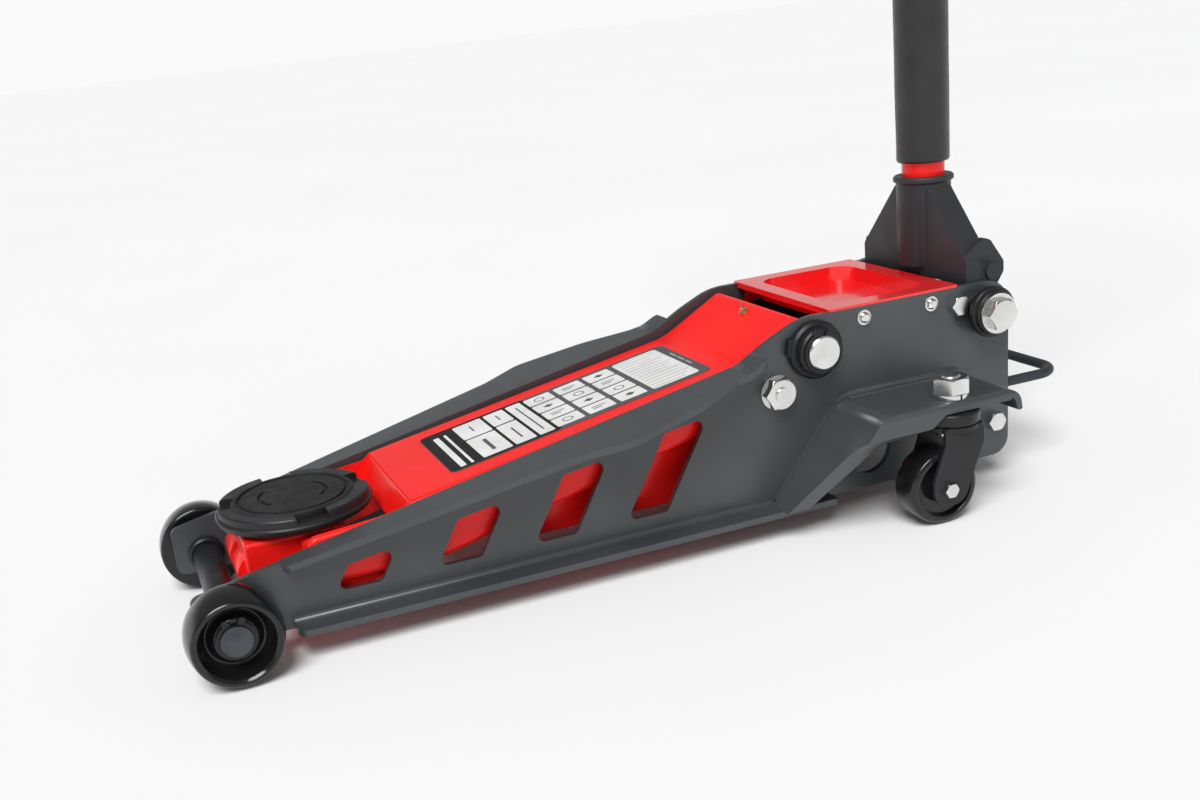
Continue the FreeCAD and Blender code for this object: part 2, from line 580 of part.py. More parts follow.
def pump_block():
    """Cast block across the back: cylinder root, valve boss, pump housing and mounting lugs."""
    root = softened(box(605, 657, -45, 45, 48, 108), 4.0, lambda e: abs(e.tangentAt(e.FirstParameter).x) > 0.9)
    housing = box(577, 606, -42, 42, 96, 152)
    foot = box(636, 660, -74.4, 74.4, 42, 62)
    lug = box(590, 623, 41, 74.4, 139, 152).fuse(box(609, 623, 60, 74.4, 151, 168))
    block = joined(root, housing, foot, lug, other_side(lug))
    cuts = [
        rod_x(0, RAM_Z, 600, 646, BORE_R),
        rod_x(0, RAM_Z, 570, 605.05, 26 + SEAT),
        rod_z(HANDLE_X, 0, 100.5, 110, 5.0 + FIT),
    ]
    for side in MIRROR_SIDES:
        cuts.append(rod_x(side * PUMP_Y, PUMP_Z, 582, 610, PLUNGER_R + FIT))
    for x, z in FRAME_BOLTS:
        for y0, y1 in ((61, 75), (-75, -61)):
            cuts.append(rod_y(x, z, y0, y1, FRAME_BOLT_R + SEAT))
    return block.cut(cuts)


def main_cylinder():
    return turned_x(0, RAM_Z, [(548, BORE_R), (548, 26), (605, 26), (605, BORE_R)])


def cylinder_gland():
    """Nose ring that closes the cylinder round the ram."""
    bore = RAM_R + FIT
    return turned_x(0, RAM_Z, [(540, bore), (540, 22), (541.5, 24), (548, 24), (548, 19.9), (554, 19.9),
                               (554, bore)])


def reservoir_shell():
    """Oil tank that surrounds the cylinder."""
    shell = turned_x(0, RAM_Z, [(551, 26 + SEAT), (551, 36), (554, 38), (605, 38), (605, 35), (555, 35),
                                (554, 34), (554, 26 + SEAT)])
    return shell.cut(box(576, 607, -42.2, 42.2, 95.8, 153))


def filler_plug():
    plug = turned_z(590, 0, [(0, 152), (5.5, 152), (5.5, 154), (8, 154), (8, 156.5), (6.5, 158), (0, 158)])
    return plug


def ram():
    """Piston rod and piston in one piece."""
    face = ram_face_x()
    rod_start = face + 8
    return turned_x(0, RAM_Z, [(rod_start, 0), (rod_start, RAM_R), (631, RAM_R), (631, PISTON_R), (643, PISTON_R),
                               (643, 0)])


def ram_head():
    """Pusher block on the ram's nose that bears on the lift roller."""
    face = ram_face_x()
    block = box(face, face + 8, -17, 17, RAM_Z - 19, RAM_Z + 19)
    return softened(block, 2.5, lambda e: abs(e.tangentAt(e.FirstParameter).x) > 0.9)


def pump_roller_centre():
    angle = radians(PUMP_HALF_SWING)
    return HANDLE_X + PUMP_CRANK_R * sin(angle), HANDLE_Z - PUMP_CRANK_R * cos(angle)


def pump_plungers():
    head_face = pump_roller_centre()[0] - 8.0 - 0.5
    solids = []
    for side in MIRROR_SIDES:
        plunger = turned_x(side * PUMP_Y, PUMP_Z, [(602, 0), (602, PLUNGER_R), (head_face - 4, PLUNGER_R),
                                                   (head_face - 4, 7.7), (head_face, 7.7), (head_face, 0)])
        solids.append(plunger)
    return Part.makeCompound(solids)


def pump_springs():
    end = pump_roller_centre()[0] - 12.6
    solids = []
    for side in MIRROR_SIDES:
        solids.append(turned_x(side * PUMP_Y, PUMP_Z, [(606.1, 6.4), (606.1, 7.9), (end, 7.9), (end, 6.4)]))
    return Part.makeCompound(solids)


def return_springs():
    """Tension springs from the roller pin back to the block, as plain sleeves of the coils' size."""
    x, z = roller_centre()
    spring = turned_x(48.0, z, [(x + 9, 4.2), (x + 9, 6.5), (604.9, 6.5), (604.9, 4.2)])
    return Part.makeCompound(both(spring))


def release_stem():
    """Release valve spindle with the ball of its swivel coupling on the handle pivot axis."""
    ball = Part.makeSphere(10.0, V(HANDLE_X, 0, HANDLE_Z))
    spindle = rod_z(HANDLE_X, 0, 102.0, HANDLE_Z, 5.0)
    collar = turned_z(HANDLE_X, 0, [(4.5, 108.5), (9.0, 108.5), (9.0, 114.0), (7.5, 115.0), (4.5, 115.0)])
    return joined(spindle, ball, collar)


# ---- lift arm and saddle ------------------------------------------------------------------------
def arm_top_z(x):
    return ARM_FRONT_Z + ARM_SLOPE * (x - ARM_FRONT_X)


def arm_low_z(x):
    return ARM_LOW_Z0 + ARM_LOW_SLOPE * x


def lug_outline():
    """Wall from the main pivot down to the roller pin, with round ends, as corners."""
    rx, rz = roller_centre()
    direction = atan2(rz - PIVOT_Z, rx - PIVOT_X)
    along_x, along_z = cos(direction), sin(direction)
    side_x, side_z = -along_z, along_x
    big, small = 19.0, 17.0
    return [
        (PIVOT_X - along_x * big + side_x * big, PIVOT_Z - along_z * big + side_z * big, big * 0.98),
        (PIVOT_X - along_x * big - side_x * big, PIVOT_Z - along_z * big - side_z * big, big * 0.98),
        (rx + along_x * small - side_x * small, rz + along_z * small - side_z * small, small * 0.95),
        (rx + along_x * small + side_x * small, rz + along_z * small + side_z * small, small * 0.95),
    ]


def lift_arm():
    """Pressed channel: a top plate, side walls, eyes for the saddle pin and lugs for the ram roller."""
    wall = [
        (PIN_X - EYE_R - 1, PIN_Z - EYE_R, EYE_R * 0.95),
        (PIN_X - EYE_R - 1, PIN_Z + 21.5, 8.0),
        (112.0, 85.0, 14.0),
        (ARM_FRONT_X - 6, arm_top_z(ARM_FRONT_X) - 5, 4.0),
        (ARM_FRONT_X, arm_top_z(ARM_FRONT_X), 1.5),
        (ARM_BEND_X, arm_top_z(ARM_BEND_X), 60.0),
        (ARM_REAR_X, ARM_REAR_Z, 6.5),
        (ARM_REAR_X + 8, PIVOT_Z, 0),
        (ARM_REAR_X - 20, 121.0, 4.0),
        (430.0, arm_low_z(430.0) + 3, 10.0),
        (160.0, arm_low_z(160.0), 20.0),
        (112.0, 43.0, 16.0),
    ]
    outer = side_slab(wall, -ARM_OUT, ARM_OUT)
    outer = softened(outer, 5.0, is_arm_shoulder)
    under = [
        (ARM_FRONT_X - 1, arm_top_z(ARM_FRONT_X - 1) - 5.2, 0),
        (ARM_BEND_X + 2, arm_top_z(ARM_BEND_X) - 4.8, 65.0),
        (ARM_REAR_X + 1, ARM_REAR_Z - 5.3, 0),
        (ARM_REAR_X + 20, ARM_REAR_Z - 5.3, 0),
        (ARM_REAR_X + 20, 0, 0),
        (ARM_FRONT_X - 1, 0, 0),
    ]
    hollow = side_slab(under, -ARM_IN, ARM_IN)
    mouth = box(40, ARM_FRONT_X + 0.02, -ARM_IN, ARM_IN, 0, 130)
    shell = outer.cut([hollow, mouth])
    lug = side_slab(lug_outline(), ARM_IN, ARM_OUT)
    front_top = arm_top_z(ARM_FRONT_X)
    apron = side_slab([(ARM_FRONT_X - 0.5, front_top - 1.5, 1.0), (127.0, 70.0, 2.0), (132.0, 68.0, 2.0),
                       (ARM_FRONT_X + 7, front_top - 4.0, 0)], -ARM_IN - 0.1, ARM_IN + 0.1)
    arm = joined(shell, lug, other_side(lug), apron, *both(arm_stiffener()))

    sector = [(PIVOT_X, PIVOT_Z, 0)]
    sector += [(*about(PIVOT_X, PIVOT_Z, ARCH_OUT * 1.35, a), 0) for a in (202, 231, 260, 288)]
    ring = rod_y(PIVOT_X, PIVOT_Z, ARM_IN - 1, ARM_OUT + 1, ARCH_OUT)
    ring = ring.cut(rod_y(PIVOT_X, PIVOT_Z, ARM_IN - 2, ARM_OUT + 2, ARCH_IN))
    window = ring.common(side_slab(sector, ARM_IN - 1, ARM_OUT + 1))
    rx, rz = roller_centre()
    cuts = [window, other_side(window),
            rod_y(PIVOT_X, PIVOT_Z, -80, 80, PIVOT_R + FIT),
            rod_y(PIN_X, PIN_Z, -80, 80, PIN_R + SEAT),
            rod_y(rx, rz, -80, 80, 8.0 + SEAT),
            along(rod_z(0, 0, -20, 20, 3.1), nipple_seat(), NIPPLE_AIM)]
    return arm.cut(cuts).removeSplitter()


def arm_stiffener():
    """Far inner wall under the arm's top, deeper than the outer one, its low edge rolled inwards."""
    x0, x1, low = STIFFENER_X0, STIFFENER_X1, STIFFENER_LOW
    sheet = side_slab([(x0, low, 12.0), (x0 + 6, arm_top_z(x0) - 3, 4.0), (x1, arm_top_z(x1) - 3, 0),
                       (x1, low + 30, 14.0), (x1 - 40, low, 30.0)], 30.0, STIFFENER_OUT)
    section = front_slab([(STIFFENER_OUT, 150.0, 0), (STIFFENER_OUT, low + 6, 0), (STIFFENER_OUT - 14, low, 26.0),
                          (STIFFENER_OUT - 22, low - 1, 0), (STIFFENER_OUT - 22, low + 3, 0),
                          (STIFFENER_OUT - 12, low + 5, 18.0), (STIFFENER_OUT - 4, low + 12, 6.0),
                          (STIFFENER_OUT - 4, 150.0, 0)], x0 - 1, x1 + 1)
    return sheet.common(section)


STIFFENER_X0, STIFFENER_X1, STIFFENER_LOW, STIFFENER_OUT = 218.0, 402.0, 32.0, 56.5


def is_arm_shoulder(edge):
    """True for the two long edges where the arm's top plate turns down into its walls."""
    box_of = edge.BoundBox
    on_side = abs(abs(box_of.YMin) - ARM_OUT) < 0.01 and box_of.YLength < 0.01
    return on_side and box_of.ZMin > 88 and box_of.XMin > ARM_FRONT_X and box_of.XMax < ARM_REAR_X + 0.1


def arm_pivot_tube():
    """Bearing sleeve welded between the arm's walls, running on the main pivot shaft."""
    inner = PIVOT_R + FIT
    return turned_y(PIVOT_X, PIVOT_Z, [(-ARM_IN, inner), (-ARM_IN, 19), (ARM_IN, 19), (ARM_IN, inner)])


NIPPLE_X = 460.0
KINK_SLOPE = (ARM_REAR_Z - (ARM_FRONT_Z + ARM_SLOPE * (ARM_BEND_X - ARM_FRONT_X))) / (ARM_REAR_X - ARM_BEND_X)
NIPPLE_AIM = (-KINK_SLOPE, 0, 1)


def nipple_seat(below=0.0):
    """The point on the kinked part of the arm's top where the lubricator sits."""
    return NIPPLE_X, 0, ARM_REAR_Z - KINK_SLOPE * (ARM_REAR_X - NIPPLE_X) - below


def grease_nipple():
    """Lubricator on the arm's kinked top, square to its slope."""
    nipple = turned_z(0, 0, [(0, -4.5), (3.0, -4.5), (3.0, 0.1), (4.2, 0.1), (4.2, 2.2), (1.8, 3.0), (1.6, 4.2),
                             (2.4, 5.2), (1.8, 6.6), (0, 6.6)])
    return along(nipple, nipple_seat(), NIPPLE_AIM)


def label_plate():
    """Thin plain plate on the arm's flat top."""
    x0, x1, half, thick = 178.0, 402.0, 49.0, 0.5
    lift = 0.02
    outline = [(x0, arm_top_z(x0) + lift, 0), (x1, arm_top_z(x1) + lift, 0),
               (x1, arm_top_z(x1) + lift + thick, 0), (x0, arm_top_z(x0) + lift + thick, 0)]
    plate = side_slab(outline, -half, half)
    rounded = plan_slab([(x0, -half, 6), (x1, -half, 6), (x1, half, 6), (x0, half, 6)], 80, 160)
    return plate.common(rounded)


def ram_roller_pin():
    x, z = roller_centre()
    return turned_y(x, z, [(-73, 0), (-73, 7), (-72, 8), (72, 8), (73, 7), (73, 0)])


def ram_roller():
    x, z = roller_centre()
    return turned_y(x, z, [(-ROLLER_HALF, 8.0 + FIT), (-ROLLER_HALF, 12), (-ROLLER_HALF + 1, ROLLER_R),
                           (ROLLER_HALF - 1, ROLLER_R), (ROLLER_HALF, 12), (ROLLER_HALF, 8.0 + FIT)])


def saddle_pin():
    """Pin through the arm's front eyes that carries the saddle casting."""
    return turned_y(PIN_X, PIN_Z, [(-73.4, 0), (-73.4, 7), (-72.4, PIN_R), (72.4, PIN_R), (73.4, 7), (73.4, 0)])


def link_front():
    """Front pivot of the link bars: the parallelogram's fourth corner."""
    return PIN_X + LINK_X - PIVOT_X, PIN_Z + LINK_Z - PIVOT_Z


def saddle_carrier():
    """Casting that carries the saddle: a block with cheeks, bored for its two cross pins."""
    fx, fz = link_front()
    top = SADDLE_LOW - 2.5
    block = side_slab([(22.0, 26.0, 8), (16.5, 48.0, 6), (16.5, top, 4), (94.0, top, 5), (97.0, 62.0, 12),
                       (88.0, 44.0, 10), (60.0, 22.0, 10)], -45, 45)
    block = softened(block, 3.0, lambda e: abs(abs(e.BoundBox.YMin) - 45) < 0.01 and e.BoundBox.YLength < 0.01)
    cheek = side_slab([(PIN_X - 20, PIN_Z - 12, 8), (PIN_X - 18, 76, 6), (PIN_X + 13, 76, 8), (PIN_X + 15, 48, 10)],
                      43, 59)
    nose = rod_y(fx, fz, -59, 59, 10.5)
    bosses = [rod_y(25.5, 51.0, y0, y1, 16.0) for y0, y1 in ((-36, -6), (8, 38))]
    seat = rod_z(SADDLE_X, 0, top - 1, SADDLE_LOW - 0.3, 30)
    hollow = box(30, 80, -30, 30, 0, 46)
    casting = joined(block, cheek, other_side(cheek), nose, *bosses, seat).cut(hollow)
    cuts = [rod_y(PIN_X, PIN_Z, -80, 80, PIN_R + FIT), rod_y(fx, fz, -80, 80, LINK_R + SEAT),
            rod_z(SADDLE_X, 0, 71.0, 90, 12.0 + FIT)]
    return casting.cut(cuts)


def link_cross_pin():
    x, z = link_front()
    return turned_y(x, z, [(-68.5, 0), (-68.5, 5), (-67.5, LINK_R), (67.5, LINK_R), (68.5, 5), (68.5, 0)])


def link_bar():
    """Far link bar, parallel to the line from the main pivot to the saddle pin."""
    fx, fz = link_front()
    direction = atan2(LINK_Z - fz, LINK_X - fx)
    ax, az = cos(direction), sin(direction)
    nx, nz = -az, ax
    reach = LINK_HALF + 2.0
    corners = []
    for x, z, sign in ((fx, fz, -1), (LINK_X, LINK_Z, 1)):
        for across in (1, -1):
            turn = across * -sign
            corners.append((x + sign * ax * reach + turn * nx * LINK_HALF,
                            z + sign * az * reach + turn * nz * LINK_HALF, LINK_HALF * 0.95))
    bar = side_slab(corners, LINK_IN, LINK_OUT)
    return bar.cut([rod_y(fx, fz, 50, 80, LINK_R + FIT), rod_y(LINK_X, LINK_Z, 50, 80, LINK_R + FIT)])


def saddle():
    """Round lifting cup: a notched ring on a wider rim, a seat for the pad and a spigot below."""
    x, r, rim = SADDLE_X, SADDLE_R, SADDLE_TOP - 0.6
    cup = turned_z(x, 0, [
        (0, 71.5), (12.0, 71.5), (12.0, SADDLE_LOW), (r - 4, SADDLE_LOW), (r - 1, SADDLE_LOW + 2), (r, 85.5),
        (r, 87.0), (r - 1.2, 88.2), (r - 2.2, 88.2), (r - 2.2, rim - 1.2), (r - 3.4, rim), (r - 13, rim),
        (r - 13, 89.0), (0, 89.0)])
    notches = []
    for angle in SADDLE_NOTCHES:
        notch = box(r - 15, r + 4, -12, 12, 89.6, SADDLE_TOP + 2)
        notch.rotate(V(0, 0, 0), V(0, 0, 1), angle)
        notch.translate(V(x, 0, 0))
        notches.append(notch)
    return cup.cut(notches)


SADDLE_NOTCHES = (-85, 8, 95, 170)


def saddle_pad():
    """Rubber pad with a ring groove and two inner arc grooves."""
    x, top = SADDLE_X, SADDLE_TOP
    pad = turned_z(x, 0, [(0, 89.0), (46.9, 89.0), (46.9, top - 0.8), (46.1, top), (0, top)])
    ring = turned_z(x, 0, [(40, top - 1.6), (43, top - 1.6), (43, top + 1), (40, top + 1)])
    inner = turned_z(x, 0, [(24, top - 1.6), (27, top - 1.6), (27, top + 1), (24, top + 1)])
    keep = box(x - 40, x + 40, -17, 17, 80, 100)
    return pad.cut([ring, inner.common(keep)])


# ---- handle -------------------------------------------------------------------------------------
def handle_socket():
    """Cast yoke: a tube for the handle on a flared front wall with ears down to the pivot bolts."""
    half, throat = 73.7, SOCKET_R
    wall_x0, wall_x1, rear_x = 627.5, 634.5, 651.0
    shoulder_z, throat_z, low_z = 191.0, 248.0, 152.0
    inset, face = 9.0, half - 2.6
    silhouette = [(-half, low_z, 0), (-half, shoulder_z, 5), (-throat, throat_z, 4), (throat, throat_z, 4),
                  (half, shoulder_z, 5), (half, low_z, 0)]
    pocket = [(-half + inset, low_z - 1, 0), (-half + inset, shoulder_z - 3, 4), (-throat + 2, throat_z - 14, 3),
              (throat - 2, throat_z - 14, 3), (half - inset, shoulder_z - 3, 4), (half - inset, low_z - 1, 0)]
    window = [(-58, low_z - 1, 0), (-58, 172, 8), (58, 172, 8), (58, low_z - 1, 0)]
    shell = front_slab(silhouette, wall_x0, rear_x).cut([
        front_slab(pocket, wall_x1, rear_x + 1), front_slab(window, wall_x0 - 1, wall_x1 + 1)])
    ear = side_slab([(wall_x0, 196, 2), (648, 209, 5), (654, 206, 4), (667, 187, 6), (667, 178, 5), (657, 163, 6),
                     (HANDLE_X + 15.5, HANDLE_Z - 15.5, 14.5), (HANDLE_X - 15.5, HANDLE_Z - 15.5, 14.5),
                     (HANDLE_X - 15.5, 160, 4), (wall_x0, 168, 3)], half - inset, face)
    boss = rod_y(655.5, 180.0, face - 1, half, 7.5)
    tube = rod_z(HANDLE_X, 0, 181, SOCKET_TOP, SOCKET_R)
    rim = SOCKET_R + 2.4
    lip = turned_z(HANDLE_X, 0, [(0, SOCKET_TOP - 1), (SOCKET_R, SOCKET_TOP - 1), (rim, SOCKET_TOP + 0.8),
                                 (rim, SOCKET_TOP + 3.6), (rim - 1.2, SOCKET_TOP + 5), (0, SOCKET_TOP + 5)])
    px, pz = pump_roller_centre()
    lobe = side_slab([(HANDLE_X - 9, 190, 2), (HANDLE_X + 12, 190, 2), (HANDLE_X + 15, 148, 6), (px + 7, pz - 8, 6),
                      (px - 7, pz - 8, 6), (HANDLE_X - 9, 160, 4)], 34, 40)
    deck = box(wall_x0, HANDLE_X + 14, -45, 45, 180.2, 188)
    relief = box(641.0, rear_x + 1, face, half + 1, 150.0, 191.0)
    shell = shell.cut([relief, other_side(relief)])
    casting = joined(shell, *both(ear), *both(boss), tube, lip, *both(lobe), deck)
    cuts = [rod_z(HANDLE_X, 0, 188, 270, TUBE_R + FIT), rod_z(HANDLE_X, 0, 170, 190, 10.0),
            rod_y(HANDLE_X, HANDLE_Z, -75, 75, HANDLE_BOLT_R + FIT), rod_y(px, pz, -45, 45, 4.0 + SEAT)]
    return casting.cut(cuts).removeSplitter()


def pump_roller_pins():
    x, z = pump_roller_centre()
    return Part.makeCompound(both(rod_y(x, z, 18.5, 41.0, 4.0)))


def pump_rollers():
    x, z = pump_roller_centre()
    roller = turned_y(x, z, [(19.5, 4.0 + SEAT), (19.5, 8.0), (33.0, 8.0), (33.0, 4.0 + SEAT)])
    return Part.makeCompound(both(roller))


def handle_lower_tube():
    inner = TUBE_R - TUBE_WALL
    return turned_z(HANDLE_X, 0, [(inner, 188.3), (TUBE_R, 188.3), (TUBE_R, 640), (inner, 640)])


def handle_upper_tube():
    """Upper handle section, its spigot pushed down inside the lower tube."""
    outer = TUBE_R - TUBE_WALL - SEAT
    return turned_z(HANDLE_X, 0, [(outer - 2, 570), (outer, 570), (outer, 640), (TUBE_R, 641), (TUBE_R, 1140),
                                  (outer - 2, 1140)])


def foam_sleeve():
    r = 22.6
    return turned_z(HANDLE_X, 0, [(TUBE_R + 0.05, 268.5), (r - 1.5, 268.5), (r, 270), (r, 566), (r - 1.5, 567.5),
                                  (TUBE_R + 0.05, 567.5)])


def handle_grip():
    """Rubber grip with shallow ring grooves and a closed top."""
    r = 21.4
    grip = turned_z(HANDLE_X, 0, [(TUBE_R + 0.05, 1000), (r - 1, 1000), (r + 1.5, 1003), (r + 1.5, 1008), (r, 1011),
                                  (r, 1138), (r - 2, 1146), (r - 6, 1149), (0, 1149), (0, 1140.5),
                                  (TUBE_R + 0.05, 1140.5)])
    grooves = []
    for i in range(11):
        z = 1022 + i * 10.5
        grooves.append(turned_z(HANDLE_X, 0, [(r - 1.2, z), (r + 2, z), (r + 2, z + 3), (r - 1.2, z + 3)]))
    return grip.cut(grooves)


def release_driver():
    """Plug in the handle's foot with a cup that grips the release spindle's ball."""
    inner = TUBE_R - TUBE_WALL - 0.05
    plug = turned_z(HANDLE_X, 0, [(0, 188.5), (inner, 188.5), (inner, 206), (0, 206)])
    neck = rod_z(HANDLE_X, 0, 162, 189, 9.0)
    centre = V(HANDLE_X, 0, HANDLE_Z)
    cup = Part.makeSphere(16.0, centre).cut(box(620, 660, -20, 20, 130, HANDLE_Z + 16 * cos(radians(68))))
    driver = joined(plug, neck, cup)
    return driver.cut(Part.makeSphere(10.4, centre))


# ---- all the pieces -----------------------------------------------------------------------------
def pieces():
    plate, wheel, bracket = side_plate(), front_wheel(), caster_bracket()
    fork, axle, roller = caster_fork(), caster_axle(), caster_wheel()
    bar = link_bar()
    found = {
        "side_plate_far": plate, "side_plate_near": other_side(plate),
        "front_wheel_far": wheel, "front_wheel_near": other_side(wheel),
        "caster_bracket_far": bracket, "caster_bracket_near": other_side(bracket),
        "caster_fork_far": fork, "caster_fork_near": other_side(fork),
        "caster_axle_far": axle, "caster_axle_near": other_side(axle),
        "caster_wheel_far": roller, "caster_wheel_near": other_side(roller),
        "link_bar_far": bar, "link_bar_near": other_side(bar),
    }
    single = [
        front_axle, axle_spacers, circlips, main_pivot_shaft, pivot_bosses, frame_bolts, tray_screws, tool_tray,
        carry_handle, caster_kingpins, caster_nuts, caster_lock_washers, caster_races, handle_pivot_bolts,
        handle_pivot_spacers, link_pivot_bolts, pump_block, main_cylinder, cylinder_gland,
        reservoir_shell, filler_plug, ram, ram_head, pump_plungers, pump_springs, return_springs, release_stem,
        lift_arm, arm_pivot_tube, grease_nipple, label_plate, ram_roller_pin, ram_roller, saddle_pin,
        saddle_carrier, link_cross_pin, saddle, saddle_pad, handle_socket, pump_roller_pins, pump_rollers,
        handle_lower_tube, handle_upper_tube, foam_sleeve, handle_grip, release_driver,
    ]
    for build in single:
        found[build.__name__] = build()
    return found


def main():
    os.makedirs("parts", exist_ok=True)
    for name, shape in sorted(pieces().items()):
        moved = shape.copy()
        moved.translate(V(-BOX_MID_X, 0, 0))
        moved.exportStep(os.path.join("parts", name + ".step"))


main()
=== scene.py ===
"""Studio scene of a low-profile trolley jack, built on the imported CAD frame.

The CAD parts keep their shape and place. This script gives them finishes and rounded edges, and adds
what a mechanical model leaves plain: wound springs, weld beads, the printed plate's blank graphics,
the foam sleeve and the ribbed grip. It also makes the floor, light and camera. Lengths are in metres.
"""

from math import cos, pi, radians, sin, tau

import bpy
from mathutils import Matrix, Vector, noise

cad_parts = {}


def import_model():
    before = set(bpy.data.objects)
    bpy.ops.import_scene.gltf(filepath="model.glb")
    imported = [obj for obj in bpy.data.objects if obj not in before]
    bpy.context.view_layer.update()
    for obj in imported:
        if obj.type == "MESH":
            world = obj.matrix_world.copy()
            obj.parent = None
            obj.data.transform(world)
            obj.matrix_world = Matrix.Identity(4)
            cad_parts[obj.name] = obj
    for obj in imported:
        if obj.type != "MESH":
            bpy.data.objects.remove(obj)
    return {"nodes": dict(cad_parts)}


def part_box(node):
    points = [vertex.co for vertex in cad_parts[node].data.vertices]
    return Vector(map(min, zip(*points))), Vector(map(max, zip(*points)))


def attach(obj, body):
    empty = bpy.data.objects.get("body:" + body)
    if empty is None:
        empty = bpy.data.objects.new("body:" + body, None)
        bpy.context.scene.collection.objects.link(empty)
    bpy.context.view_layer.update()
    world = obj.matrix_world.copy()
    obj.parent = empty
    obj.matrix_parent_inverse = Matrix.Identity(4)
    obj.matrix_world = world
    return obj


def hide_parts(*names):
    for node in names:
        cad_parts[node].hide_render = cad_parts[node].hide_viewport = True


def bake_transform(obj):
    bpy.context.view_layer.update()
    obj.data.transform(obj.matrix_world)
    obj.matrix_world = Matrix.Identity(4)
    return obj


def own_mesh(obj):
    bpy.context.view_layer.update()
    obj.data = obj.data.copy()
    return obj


MM = 0.001

# ---- camera and light ---------------------------------------------------------------------------
CAMERA_AT = (-0.39708, -0.96087, 0.42195)
CAMERA_YAW, CAMERA_PITCH, CAMERA_ROLL = 18.64, 17.75, 6.33
CAMERA_LENS, CAMERA_SHIFT = 39.21, (0.0442, 0.0291)

SUN_STRENGTH, SUN_SIZE_DEG = 3.05, 34.0
SUN_FROM = (-0.42, -0.62, 1.0)
SKY_LOW, SKY_HIGH = 0.955, 0.24     # brightness at the horizon and overhead

FLOOR_HALF = 30.0

# ---- edge rounding of the CAD parts -------------------------------------------------------------
EDGE_ROUND = 0.5 * MM
EDGE_ANGLE = 32.0                   # degrees; flatter edges stay as they are

# ---- sizes of the pieces made here --------------------------------------------------------------
HANDLE_TUBE_R = 18.0 * MM           # the bore of the sleeve and of the grip
PUMP_WIRE, PUMP_TURNS = 0.75 * MM, 8
RETURN_WIRE = 1.0 * MM
RETURN_PITCH = 2.35                 # in wire radii, so the coils nearly touch
GRIP_RINGS, GRIP_FLUTES = 12, 36
GRIP_RING_DEPTH, GRIP_FLUTE_DEPTH = 1.1 * MM, 0.55 * MM
BEAD_STEP, BEAD_POOL = 0.6 * MM, 2.4 * MM

# ---- the printed plate, as shares of its length -------------------------------------------------
PRINT_MARGIN, PRINT_GAP = 5.0 * MM, 2.4 * MM
PRINT_STRIPES = ((0.040, 0.062), (0.080, 0.090))
PRINT_PAIRS = ((0.125, 0.235), (0.247, 0.325))
PRINT_STRIP = (0.337, 0.395)
PRINT_COLUMNS = ((0.408, 0.512), (0.530, 0.634), (0.652, 0.756))
PRINT_ROWS = 4
PRINT_BIG_BOX = (0.778, 0.962)
PRINT_RULES = 13
# plain bars: start and end along the plate, then across it as shares of its half width
PRINT_BARS = (
    (0.172, 0.186, -0.72, -0.12),
    (0.283, 0.290, -0.68, -0.10),
    (0.177, 0.183, 0.40, 0.70),
    (0.283, 0.289, 0.44, 0.72),
    (0.363, 0.369, -0.70, 0.70),
)


# ---- finishes -----------------------------------------------------------------------------------
class Finish:
    """A node material with short ways to chain textures into its shader."""

    def __init__(self, name, **sockets):
        self.material = bpy.data.materials.new(name)
        self.material.use_nodes = True
        self.tree = self.material.node_tree
        self.shader = self.tree.nodes["Principled BSDF"]
        for socket, value in sockets.items():
            self.shader.inputs[socket.replace("_", " ")].default_value = value
        self.place = self.add("ShaderNodeTexCoord").outputs["Object"]

    def add(self, kind, **settings):
        node = self.tree.nodes.new(kind)
        for name, value in settings.items():
            setattr(node, name, value)
        return node

    def join(self, source, target):
        self.tree.links.new(source, target)

    def stretched(self, scale):
        """The place coordinates scaled by a different number along each axis."""
        node = self.add("ShaderNodeMapping")
        node.inputs["Scale"].default_value = scale
        self.join(self.place, node.inputs["Vector"])
        return node.outputs["Vector"]

    def noise(self, scale, detail=3.0, place=None):
        node = self.add("ShaderNodeTexNoise")
        node.inputs["Scale"].default_value = scale
        node.inputs["Detail"].default_value = detail
        self.join(place or self.place, node.inputs["Vector"])
        return node.outputs["Fac"]

    def ranged(self, source, low, high, start=0.35, end=0.65):
        """source, from start to end, as a number from low to high."""
        node = self.add("ShaderNodeMapRange")
        for socket, value in (("From Min", start), ("From Max", end), ("To Min", low), ("To Max", high)):
            node.inputs[socket].default_value = value
        self.join(source, node.inputs["Value"])
        return node.outputs["Result"]

    def blended(self, mask, first, second):
        """A colour that goes from first to second with mask; either may be a socket."""
        node = self.add("ShaderNodeMix", data_type="RGBA")
        self.join(mask, node.inputs["Factor"])
        for socket, colour in ((node.inputs[6], first), (node.inputs[7], second)):
            if isinstance(colour, bpy.types.NodeSocket):
                self.join(colour, socket)
            else:
                socket.default_value = (*colour, 1.0)
        return node.outputs[2]

    def relief(self, height, depth, under=None):
        """A normal raised by height, depth metres at most, on top of the relief under."""
        node = self.add("ShaderNodeBump")
        node.inputs["Strength"].default_value = 1.0
        node.inputs["Distance"].default_value = depth
        self.join(height, node.inputs["Height"])
        if under is not None:
            self.join(under, node.inputs["Normal"])
        return node.outputs["Normal"]

    def wire(self, colour=None, roughness=None, normal=None):
        for socket, source in (("Base Color", colour), ("Roughness", roughness), ("Normal", normal)):
            if source is not None:
                self.join(source, self.shader.inputs[socket])
        return self.material


